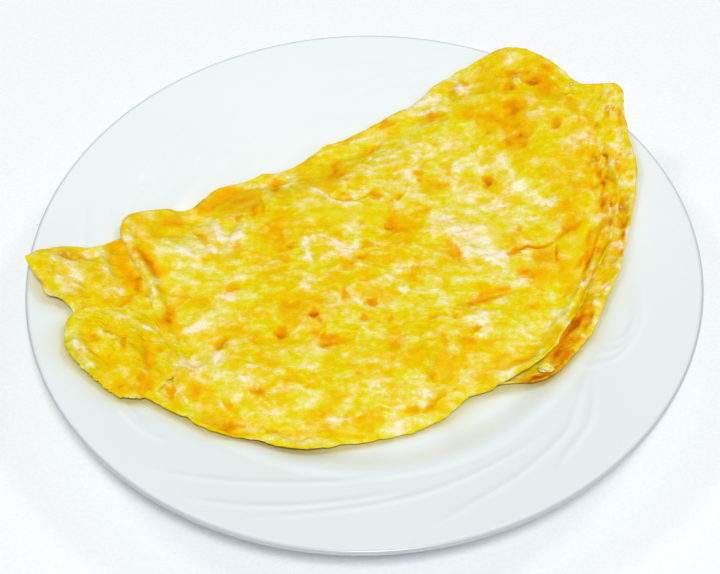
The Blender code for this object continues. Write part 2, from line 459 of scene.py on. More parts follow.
def swirl_strokes():
    strokes = []
    for turn_angle in SWEEP_TURNS:
        for stroke in SWEEP_STROKES:
            strokes.append([rim_point(angle + turn_angle, share) for angle, share in stroke])
    for angle, share, size in CURL_PLACES:
        for nest in (1.0, 0.68, 0.4):
            arc = [(angle + nest * size * a, share + nest * size * s) for a, s in CURL_ARC]
            strokes.append([rim_point(*knot) for knot in arc])
    return strokes


def emboss(item, strokes):
    places = read_places(item)
    radius = np.hypot(places[:, 0], places[:, 1]) / MM
    upper = places[:, 2] / MM > plate_height(radius) - 1.0
    rim = np.where(upper & (radius > WELL_RADIUS) & (radius < RIM_RADIUS - 3.0))[0]
    points = places[rim, :2] / MM
    lift = np.zeros(len(rim))
    for stroke in strokes:
        line = smooth_curve(stroke, 40, closed=False)
        low, high = line.min(axis=0) - 4.0 * RIDGE_WIDTH, line.max(axis=0) + 4.0 * RIDGE_WIDTH
        near = np.where(((points > low) & (points < high)).all(axis=1))[0]
        distance, share = nearest_on_line(points[near], line)
        taper = np.sin(math.pi * np.clip(share, 0.02, 0.98)) ** 0.5
        lift[near] = np.maximum(lift[near], taper * np.exp(-(distance / RIDGE_WIDTH) ** 2))
    places[rim, 2] += RIDGE_HEIGHT * lift * MM
    move_vertices(item, places)


strokes = swirl_strokes()
emboss(plate, strokes)
print(len(strokes), "ridges pressed into the rim")

# %% [markdown]
# ## Porcelain glaze
#
# Glazed china is a white body under a clear, slightly blue glass.  A Principled shader with
# a coat does that.  Real glaze is never quite even, so its roughness wanders a little.  Round
# the very edge it is greyer: painted shade that dims the light on the rounded lip.

# %% Glaze
skin, tree, shader, place = new_material("porcelain_glaze")
cloud = noise(place, 30.0, 2.0)
tint = mix_colours(screen_colour(234, 242, 244), screen_colour(239, 246, 248), cloud)
buttered = attribute(tree, "buttered")
# Butter tint mixed with a painted shadow and reflection of the egg, darker than butter alone
tint = mix_colours(tint, screen_colour(208, 200, 112), buttered)
# Greyer at the very edge of the rim: painted shade on the lip
tint = mix_colours(tint, screen_colour(196, 203, 206), attribute(tree, "thin_glaze"))
tree.links.new(tint.output, shader.inputs["Base Color"])
mottle = noise(place, 6.0, 3.0, offset=3.0)
tree.links.new((mottle * 0.10 + 0.26).output, shader.inputs["Roughness"])
shader.inputs["Coat Weight"].default_value = 0.35
shader.inputs["Coat Roughness"].default_value = 0.22
shader.inputs["Specular IOR Level"].default_value = 0.4
plate.data.materials.append(skin)
bpy.context.view_layer.objects.active = plate
deselect_all()
plate.select_set(True)
bpy.ops.object.shade_smooth_by_angle(angle=math.radians(50.0))
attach(plate, "root")
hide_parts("plate")
print("plate glazed")

# %% [markdown]
# ## The egg sheet
#
# A folded omelette is a soft sheet laid over itself.  Each leaf of it is modelled from a
# ball that is pressed flat inside an outline: the ball's upper half becomes the top of the
# leaf, its equator the frilled edge and its lower half the underside.  That gives a closed
# skin with its points in neat rings, close together near the edge where the shape turns
# most.  The leaves are draped by one rule: follow the plate, bend only gently, and step up
# where another leaf lies underneath.

# %% Egg measurements, in millimetres
AIR_GAP = 0.3
BRIDGE = 0.6
SPAN = 6.0
RIM_CLEARANCE = 0.7
EDGE_LOW = 0.15
LOWER_THICK = 4.8
UPPER_THICK = 5.4
FLAP_THICK = 5.0
BITE = 0.9
LEAF_OPENING = 1.5
OPEN_DEPTH = 9.0
TUCK = 1.7
DRAPE = 24.0
OUTLINE_SAMPLES = 150
LOWER_OUTLINE = (
    (-114.9, 1.4), (-113.9, -0.7), (-111.8, -4.2), (-108.6, -7.6), (-106.8, -11.8), (-101.5, -12.8),
    (-98, -17), (-95, -26), (-90, -38), (-80, -46), (-70, -52), (-61, -57), (-46, -61), (-20, -63),
    (6, -60), (26, -52), (38, -45), (50, -43), (58, -44), (66, -39), (75, -28), (82, -14), (89, 2),
    (94, 20), (98, 38), (97, 52), (96, 66), (96, 76), (91, 80), (80, 82), (62, 92), (40, 90),
    (20, 79), (0, 67), (-20, 56), (-42, 44), (-62, 30), (-85, 19), (-92, 14), (-102, 11),
    (-110, 6.2), (-113.4, 3.2),
)
UPPER_OUTLINE = (
    (-85, 23), (-82.5, 14), (-78.5, 5), (-74.5, -4), (-72.5, -13), (-69, -23), (-65, -32),
    (-63.5, -43), (-60, -56), (-51, -63), (-36, -66), (-22, -69), (-6, -66), (10, -63), (24, -57),
    (35, -48), (46, -44), (58, -39), (67, -28), (76, -12), (84, 4), (89, 20), (90, 34), (88, 48),
    (88, 64), (85, 78), (77, 87), (68, 97), (58, 102), (46, 99), (32, 92), (18, 82), (2, 74),
    (-15, 66), (-26, 58), (-38, 54), (-53, 46), (-62, 37), (-72, 33), (-82, 30),
)
FLAP_OUTLINE = (
    (-98, -18), (-100, -26), (-98, -35), (-91, -43), (-82, -51), (-77, -52), (-70, -50), (-65, -44),
    (-59, -36), (-57, -28), (-68, -18), (-80, -14), (-91, -14),
)
LOWER_MIDDLE = np.array((0.0, 5.0))
UPPER_MIDDLE = np.array((5.0, 12.0))
FLAP_MIDDLE = np.array((-80.0, -32.0))


def frilled(outline, samples, wave, seed):
    """The outline as a closed curve with small uneven waves along it."""
    curve = smooth_curve(outline, samples, closed=True)
    ahead = np.roll(curve, -1, axis=0) - np.roll(curve, 1, axis=0)
    outward = np.stack([ahead[:, 1], -ahead[:, 0]], axis=1)
    outward /= np.maximum(np.hypot(*outward.T), 1e-9)[:, None]
    around = np.arange(samples) / samples
    chance = np.random.default_rng(seed)
    ripple = np.zeros(samples)
    for turns in (23, 37, 58, 83, 121, 170):
        strength = wave * (30.0 / (30.0 + turns))
        ripple += strength * np.sin(2.0 * math.pi * (turns * around + chance.random()))
    return curve + outward * (ripple - wave * 0.6)[:, None]


def distance_inside(points, outline):
    """Distance from each point to a closed outline, negative when outside."""
    closed = np.vstack((outline, outline[:1]))
    distance, _ = nearest_on_line(points, closed)
    inside = np.zeros(len(points), dtype=bool)
    for (x0, y0), (x1, y1) in zip(closed[:-1], closed[1:]):
        if y0 == y1:
            continue
        across = (y0 > points[:, 1]) != (y1 > points[:, 1])
        edge = x0 + (points[:, 1] - y0) * (x1 - x0) / (y1 - y0)
        inside ^= across & (points[:, 0] < edge)
    return np.where(inside, distance, -distance)


LOWER_CURVE = smooth_curve(LOWER_OUTLINE, OUTLINE_SAMPLES, closed=True)
UPPER_CURVE = smooth_curve(UPPER_OUTLINE, OUTLINE_SAMPLES, closed=True)
print("outlines ready")


# %% How the leaves lie
def form(points, centre_x, centre_y, half_length, half_width, turn, height):
    """A smooth oval rise (or, with a negative height, a hollow)."""
    angle = math.radians(turn)
    dx = points[:, 0] - centre_x
    dy = points[:, 1] - centre_y
    along = (dx * math.cos(angle) + dy * math.sin(angle)) / half_length
    across = (dy * math.cos(angle) - dx * math.sin(angle)) / half_width
    return height * np.exp(-1.2 * (along ** 2 + across ** 2))


def resting_height(points):
    """Height of the egg's underside: it follows the plate but evens out its bends."""
    radius = np.hypot(points[:, 0], points[:, 1])
    steps = np.linspace(-SPAN, SPAN, 5)
    surface = np.mean([plate_height(radius + step) for step in steps], axis=0)
    lifted = surface + AIR_GAP + BRIDGE * ease(radius, 60.0, 74.0)
    return lifted + RIM_CLEARANCE * ease(radius, 98.0, 111.0)


def lower_base(points):
    tip = form(points, -114, 0, 17, 14, 0, 3.6)
    corner = form(points, 92, 66, 20, 14, 60, 1.0)
    return resting_height(points) + tip + corner


def upper_base(points):
    lower = distance_inside(points, LOWER_CURVE)
    upper = distance_inside(points, UPPER_CURVE)
    covered = ease(lower, -2.0, DRAPE - 2.0)
    free_side = ease(points[:, 0], 30.0, 60.0) * (1.0 - ease(points[:, 1], 40.0, 66.0))
    slit = 1.0 - ease(upper, 0.0, OPEN_DEPTH)
    covered = np.maximum(covered, free_side * ease(lower, -4.0, 1.0))
    tucked = (1.0 - ease(points[:, 0], -74.0, -60.0)) * (1.0 - ease(points[:, 1], 6.0, 20.0))
    tucked = tucked * ease(points[:, 1], -32.0, -4.0)
    stacked = LOWER_THICK - BITE - TUCK * tucked + (BITE + LEAF_OPENING) * slit * free_side
    return resting_height(points) + stacked * covered


def flap_base(points):
    covered = ease(distance_inside(points, LOWER_CURVE), -5.0, DRAPE - 4.0)
    return lower_base(points) + (LOWER_THICK - BITE) * covered


print("drape rules ready")

# %% [markdown]
# ## Blisters, wrinkles and browning
#
# What makes egg look like egg is its relief: soft lumps a few millimetres across, pits where
# bubbles burst, wrinkles where the sheet was pushed, and creases at the fold.  Each kind is
# a small function of the place on the sheet.  The same functions also say where the egg is
# browned, where shade is painted darker into creases, pits, grooves and step feet, and where
# it is pale, with a painted highlight along each crest, so colour and shape agree.  Those
# numbers are stored on the mesh as attributes, which the material reads.


# %% Noise on the sheet
def lumps(points, size, seed, stretch=1.0, turn=0.0):
    """Smooth noise between -1 and 1 with lumps of a size, drawn out along a direction."""
    chance = np.random.default_rng(seed)
    lattice = chance.uniform(-1.0, 1.0, (256, 256))
    angle = math.radians(turn)
    x = (points[:, 0] * math.cos(angle) + points[:, 1] * math.sin(angle)) / (size * stretch) + 60.0
    y = (points[:, 1] * math.cos(angle) - points[:, 0] * math.sin(angle)) / size + 70.0
    column, row = np.floor(x).astype(int), np.floor(y).astype(int)
    across, up = x - column, y - row
    across = across ** 3 * (across * (across * 6.0 - 15.0) + 10.0)
    up = up ** 3 * (up * (up * 6.0 - 15.0) + 10.0)
    corner = [lattice[(row + j) % 256, (column + i) % 256] for j in (0, 1) for i in (0, 1)]
    low = corner[0] * (1.0 - across) + corner[1] * across
    high = corner[2] * (1.0 - across) + corner[3] * across
    return 1.4 * (low * (1.0 - up) + high * up)


print("noise ready")

# %% [markdown]
# ## Marks of the pan
#
# The marks that a cook would recognise are given one by one, in millimetres on the sheet:
# the soft rises and hollows of the fold, the burst blisters, the creases, the browned patches
# (one of them painted shadow), and the pale streaks, partly set white and partly painted
# highlight where the wet egg would glint.  Everything between them comes from the noise.

# %% Rises and hollows of the upper leaf: x, y, half-length, half-width, turn, height
UPPER_FORMS = (
    (-46, 40, 11, 7, 25, 0.9), (-47, 21, 9, 6, 70, -1.7), (-70, 4, 12, 4, -62, -1.0),
    (10, 76, 34, 6, 36, 0.9), (46, 18, 20, 13, -20, 1.0), (48, 17, 7, 6, 10, -0.5),
    (62, 84, 16, 9, -20, -0.8), (64, 83, 3.4, 3.2, 0, -0.6), (58.3, 83.5, 4, 1.5, 90, 0.8),
    (-20, -12, 22, 14, 15, 1.0), (20, -42, 26, 9, 20, 0.9), (-44, -42, 20, 12, -10, 1.0),
    (-10, 28, 16, 6, 5, 1.0), (12, 21, 8, 6, 20, -1.0), (56, 70, 5, 5, 0, -0.9),
    (57, 56, 6, 5, 60, -0.8), (48, 66, 8, 3, 10, -0.6), (70, 60.5, 3, 3, 0, -0.9),
    (28, 73, 4, 3, -35, -0.8), (39, 71, 4, 4, 0, -0.6), (34, 85, 5, 2, 80, -0.4),
    (37, 86, 6, 1.8, 105, 0.7), (-11, 50, 8, 7, 40, -1.1), (-30, 18, 12, 6, 90, -0.8),
    (45, 41, 3.2, 2.4, 90, -0.9), (31, 10, 5, 2.4, 100, -0.9), (27, 4, 9, 1.6, 100, 0.7),
    (74, 19, 8, 2.4, 40, -0.9), (40, -11, 9, 2.2, 22, -1.0), (40, -20, 10, 4, 10, 0.7),
    (52, -24, 10, 4, 15, 0.7), (24, -37, 8, 2, 75, -0.8), (19.5, -36, 8, 1.4, 95, 0.7),
    (24, -50, 3, 3, 40, -0.6), (-12, -28.5, 4, 3, 0, -0.9), (-28, -25, 3, 2.4, 90, -0.9),
    (-24, -12, 5, 4, 0, -0.6), (-49, -29, 3.4, 2.6, 80, -0.9), (-56, -40, 7, 7, 0, 0.7),
    (-44, -62, 6, 2.2, -6, -0.8), (-36, -48, 4, 1.6, 5, -0.7), (-7, -56, 8, 1.8, 0, -0.5),
    (4, -13, 4, 2.6, 0, -0.7), (60, 52, 22, 12, 60, 0.7), (-66, 22, 12, 3, 4, -0.8),
    (-62, 11, 10, 3, -20, 0.7), (-57, -14, 12, 3, -40, 0.7), (64, 2, 8, 6, 30, 0.6),
    (84, 66, 8, 3, 80, -0.5), (72, 84, 12, 2.4, -52, -0.7), (-5, 40, 5, 3, 0, -0.6),
    (-26, 50, 8, 3, 85, -0.5),
)

# %% Burst blisters: x, y, radius, depth
BLISTERS = (
    (54.5, 80.5, 2.3, 1.0), (64.3, 83.2, 2.6, 0.75), (62.5, 90.3, 2.0, 0.8), (70, 60.5, 2.2, 1.0),
    (44.7, 41.3, 2.1, 0.9), (-17.3, -18, 2.0, 1.6), (-28, -25, 2.0, 1.1), (-12, -29, 3.4, 1.1),
    (-49, -29.5, 2.4, 0.9), (10, 22.3, 2.2, 1.0), (0, -20, 1.7, 0.7), (23, -20, 2.0, 0.8),
    (30.5, -20, 1.5, 0.7), (37, -25, 1.7, 0.7), (8.5, -20, 1.3, 0.5), (-20, -48.5, 1.6, 0.6),
    (-36, -48, 2.0, 0.8), (-45, -54, 1.8, 0.7), (-2, -56.5, 2.0, 0.6), (-3, -42, 1.8, 0.6),
    (34, -31, 2.2, 0.7), (22, 51.5, 1.6, 0.7), (27, 61, 1.8, 0.7), (5, 36.5, 1.7, 0.8),
    (-21.5, 37.5, 1.5, 0.8), (-25, 13.5, 1.7, 0.9), (-54, 8, 1.6, 0.6), (57, -15, 1.8, 0.5),
    (56, -2, 2.0, 0.6), (84.3, 38, 1.5, 0.7), (-36, -28, 2.0, 0.6), (13, 36.5, 1.6, 0.7),
    (-1, 8, 2.0, 0.7), (-44, -5.5, 2.0, 0.6), (22.8, 29.8, 1.7, 0.8), (3, -13, 2.0, 0.8),
    (-31, -62, 1.7, 0.6), (43, -29, 1.5, 0.6), (22, -43, 1.8, 0.7), (75.5, 77.5, 2.0, 0.6),
)

# %% Browned patches, one of them painted shadow: x, y, half-length, half-width, turn, strength
# The thin patch at (-46, 29.6), along the foot of the fold's lap, is a painted shadow line
BROWNED_AND_SHADOW_PATCHES = (
    (56, 71, 6, 5, 70, 0.85), (57, 57, 7, 5, 80, 0.85), (49, 65.5, 8, 4, -10, 0.8),
    (57, 68, 18, 13, 60, 0.42), (58, 87, 7, 4, 20, 0.75), (66, 84, 6, 6, 0, 0.7),
    (74, 68, 10, 8, 0, 0.4), (82, 52, 6, 14, 0, 0.4), (73, 20, 7, 3.5, 60, 0.8),
    (64, 1, 9, 5, 0, 0.45), (41, -12, 8, 3.5, 15, 0.6), (14, 20, 8, 9, 0, 0.55),
    (-29, 18, 7, 13, 0, 0.45), (-10, 49, 9, 8, 30, 0.4), (-44, 38, 10, 6, 30, 0.55),
    (-31.5, 47, 2.4, 6, 0, 0.5), (-22, -17, 13, 9, -30, 0.4), (22, -38, 8, 10, 0, 0.4),
    (-78, 21, 6, 6, 0, 0.5), (-56, 37, 4, 3, -30, 0.6), (0, 5, 9, 5, 0, 0.35),
    (30, 46, 8, 5, 30, 0.35), (84, 20, 3, 16, -8, 0.5), (-57.5, 36, 3.4, 2.4, -30, 0.75),
    (-38, 32.5, 4.2, 2.4, 80, 0.8), (-41, 38, 5, 3, 100, 0.65), (-48, 42, 9, 4, 25, 0.5),
    (-46, 29.6, 6, 0.9, 0, 0.5), (-28, 36, 1.3, 1.1, 0, 0.5), (-21.5, 37.5, 2.4, 1.2, 100, 0.6),
    (-13, 47, 6, 4, 10, 0.65), (-9, 53, 5, 4, 70, 0.8), (-8, 57, 3, 3, 0, 0.65),
    (-6, 45, 3, 3, 0, 0.5), (-7, 37.3, 2.6, 1.8, 0, 0.5), (-30, 24, 5, 4, 70, 0.8),
    (-31, 19, 5, 5, 0, 0.65), (-29, 12, 6, 4, 80, 0.5), (-28, 7, 3, 3, 0, 0.6),
    (-25, 13.5, 2.2, 1.6, 80, 0.9), (-34, 8, 5, 4, 0, 0.35), (-25, 18, 3, 3, 0, 0.5),
    (-56, 19.5, 5, 1.6, 105, 0.7), (-54, 8, 2, 1.6, 0, 0.6), (-43, 13, 3, 3, 0, 0.45),
    (-65, 20, 4, 3, 0, 0.55), (-66, 28, 4, 2.4, 0, 0.45), (-78, 22, 5, 5, 0, 0.5),
    (-79, 28, 4, 2, 10, 0.4), (-3, 7, 5, 2, 5, 0.65), (-6, 3.5, 3, 3, 0, 0.6),
    (-10, 2, 4, 2, 0, 0.45), (0, 23, 2.2, 1.5, 20, 0.55), (1, 15, 2.4, 2, 0, 0.6),
    (-2, 70, 7, 2, 25, 0.65), (10, 74, 3.6, 1.8, 15, 0.85), (14, 76, 2, 2, 0, 0.5),
    (28, 73.5, 4, 2.6, -35, 0.8), (39, 71, 3, 3, 0, 0.55), (3, 61.5, 3, 2, 60, 0.6),
    (6, 65, 2, 1.6, 40, 0.4), (27, 61, 1.8, 1.2, -20, 0.45), (30, 47, 5, 3.5, 60, 0.5),
    (30.5, 45, 3, 1.8, 80, 0.65), (20.5, 46, 2.6, 1.5, 80, 0.65), (21, 42, 2, 2, 0, 0.5),
    (25, 41, 3, 1.8, 0, 0.5), (28, 39.5, 3, 1.6, 0, 0.6), (34, 84, 3, 1.5, 80, 0.5),
    (38, 78.5, 3, 2, -30, 0.45), (39, 88, 2.5, 2.5, 0, 0.5), (22, 51.5, 2, 0.9, 0, 0.6),
    (54, 98.5, 3, 2, 0, 0.65), (46, 83, 5, 3, 90, 0.35), (57, 88, 4, 2, 30, 0.8),
    (62.5, 90.3, 2.6, 1.3, 10, 1.0), (60, 88.5, 3, 2, 20, 0.6), (64.5, 84, 3.6, 3.2, 90, 0.95),
    (64.3, 82.6, 2.2, 2, 0, 1.2), (54.5, 80.5, 3, 2.5, 90, 1.0), (69, 79, 4, 3.4, 80, 0.5),
    (75.7, 77.5, 3.5, 2, 95, 0.65), (74.5, 83, 3, 2, 95, 0.6), (71, 88, 3.4, 1.5, -50, 0.6),
    (56, 71, 4, 3.6, 80, 0.95), (56.5, 69, 2, 2, 0, 1.05), (55.5, 66, 2, 2, 0, 0.75),
    (50, 66, 5, 2.4, -10, 0.75), (43, 65, 2.5, 2.5, 0, 0.7), (47, 61, 6, 3, 10, 0.5),
    (40, 72, 3, 3, 0, 0.5), (57, 57, 4, 3.6, 70, 0.9), (57, 58, 1.7, 1.6, 0, 1.05),
    (59, 53, 4, 2.4, 95, 0.8), (54, 54, 3, 3, 0, 0.5), (57, 63, 3, 3, 0, 0.55),
    (70, 60.5, 2.9, 2.4, 90, 1.0), (78, 67, 4, 3, 10, 0.5), (84, 69, 3, 2.4, 80, 0.55),
    (82, 63, 4, 3, 0, 0.5), (86, 59.5, 3, 2.6, 0, 0.65), (44.7, 41.3, 3, 2, 90, 1.0),
    (72, 46, 8, 5, 10, 0.4), (70, 40, 6, 6, 0, 0.4), (83.5, 46, 2.5, 2.5, 0, 0.6),
    (84.3, 38, 2, 1.3, 100, 0.85), (76, 33, 5, 3, 10, 0.5), (83, 33, 4, 2.6, 60, 0.6),
    (5, 36.5, 1.8, 1.8, 0, 0.75), (13, 36.5, 1.7, 1.6, 0, 0.65), (10, 33.5, 3, 2, 20, 0.4),
    (20.5, 32, 2.6, 1.3, -20, 0.5), (22.8, 29.8, 1.9, 1.7, 0, 0.8), (12, 25, 5, 4, 40, 0.65),
    (10, 22.3, 2, 2, 0, 1.1), (18, 26, 4, 2.5, -20, 0.75), (14, 20, 6, 4, 20, 0.75),
    (10, 17, 3, 3, 0, 0.5), (10, 12.8, 4, 1.2, 5, 0.6), (5, 13, 3, 1.5, 10, 0.55),
    (-1, 8, 3, 1.4, 10, 0.6), (19.5, 6.5, 3, 1.4, 60, 0.7), (18, -1, 4, 1.4, 80, 0.6),
    (31, 10, 4.4, 1.8, 100, 0.65), (24, 2, 4, 3, 80, 0.35), (-6, -10, 4, 2.1, 80, 0.65),
    (3, -10, 6, 2, 0, 0.5), (52, 8, 3, 1.4, 30, 0.75), (55.5, -1.5, 3, 2.6, 0, 0.8),
    (59, -4, 4, 2.6, 60, 0.5), (54, 17, 2.4, 1.2, 95, 0.55), (73, 17.5, 3.4, 2, 30, 1.05),
    (76, 21, 2.6, 2.6, 0, 0.75), (72, 26, 5, 3, 80, 0.45), (76, 28, 4, 3, 80, 0.5),
    (77, 4, 3, 1.4, 75, 0.75), (75, -5, 3, 1.6, 60, 0.65), (79, 10, 6, 1.5, 75, 0.6),
    (62, -2, 3, 2, 0, 0.5), (44, -9.7, 5, 1.7, 5, 0.85), (38.5, -11.5, 4, 2.4, 40, 0.95),
    (36, -14.5, 2.8, 2, 80, 1.0), (36, -18, 3, 1.4, 90, 0.5), (37, -25, 1.8, 1.8, 0, 0.75),
    (34, -31, 3.4, 2.2, -10, 0.75), (30.5, -20, 1.5, 1.5, 0, 0.65), (42.5, -21, 2, 1, 0, 0.45),
    (43, -29, 3, 1, 20, 0.65), (46, -37, 4, 3, 0, 0.5), (51, -38.5, 6, 2.2, 20, 0.65),
    (57, -15.5, 3, 2, 40, 0.45), (-24, -12, 4.5, 3.5, 20, 0.75), (-21, -15, 2.5, 2, 0, 0.75),
    (-27, -13, 4, 3, 90, 0.55), (-17.2, -18, 2.8, 1.7, 110, 1.25), (-16, -20.5, 1.5, 1.2, 0, 0.9),
    (-28, -25.3, 3, 2.4, 100, 0.85), (-36, -28, 3, 2.4, 0, 0.55), (-33, -18, 4, 3, 0, 0.45),
    (-12, -28.3, 5, 3, 0, 0.7), (-12, -30.5, 3, 1.4, 0, 0.85), (-6, -26, 3, 1.6, 10, 0.55),
    (-10, 0, 3, 3, 0, 0.6), (-12, -8, 3, 1.6, 80, 0.5), (-45, -5.5, 3, 2.4, 10, 0.55),
    (-49, -29.5, 3.2, 2.3, 95, 0.75), (-58, -8, 4.4, 1, -25, 0.65), (-67, -15, 5, 2.3, 80, 0.75),
    (-69.5, -20, 2.4, 1.4, 70, 0.85), (-36, -48, 3, 1.4, 10, 0.7), (-28, -46, 5, 1.6, 0, 0.45),
    (-31, -62, 3, 1.4, 0, 0.6), (-44, -62, 5, 2, -5, 0.9), (-50, -60, 4, 2, -20, 0.55),
    (-24, -61, 4, 1.8, 0, 0.55), (-45.5, -54, 3, 1.2, -30, 0.55), (-55, -48, 3, 2, 0, 0.4),
    (-20, -48.5, 2, 1.2, 0, 0.5), (-3, -42, 2.4, 1.2, -10, 0.55), (-2, -56.5, 4, 1.4, 0, 0.65),
    (-8, -51, 4, 1.4, 0, 0.4), (-8, -57, 5, 1.6, 0, 0.5), (-17, -57, 5, 2, 0, 0.45),
    (-42, -24, 3, 2, 0, 0.4), (3, -13, 2.4, 2.2, 0, 0.9), (8, -11, 5, 2.6, 0, 0.55),
    (0, -20, 2, 1.7, 0, 0.7), (23, -20, 3, 1.5, 0, 0.65), (8.5, -20, 2, 0.8, 90, 0.45),
    (10, -30, 4, 3.5, 80, 0.5), (12, -36, 4, 3, 0, 0.4), (26, -31, 5, 1.4, 85, 0.65),
    (24, -37, 5, 2, 70, 0.55), (22, -43, 2, 1.6, 60, 0.75), (24, -50, 3, 2.6, 40, 0.75),
    (21, -53, 3, 1.6, 20, 0.65), (15, -54, 3, 1.4, 10, 0.55), (12, -46, 3, 1.2, 10, 0.4),
    (13, -40, 2, 1.2, 0, 0.45),
)
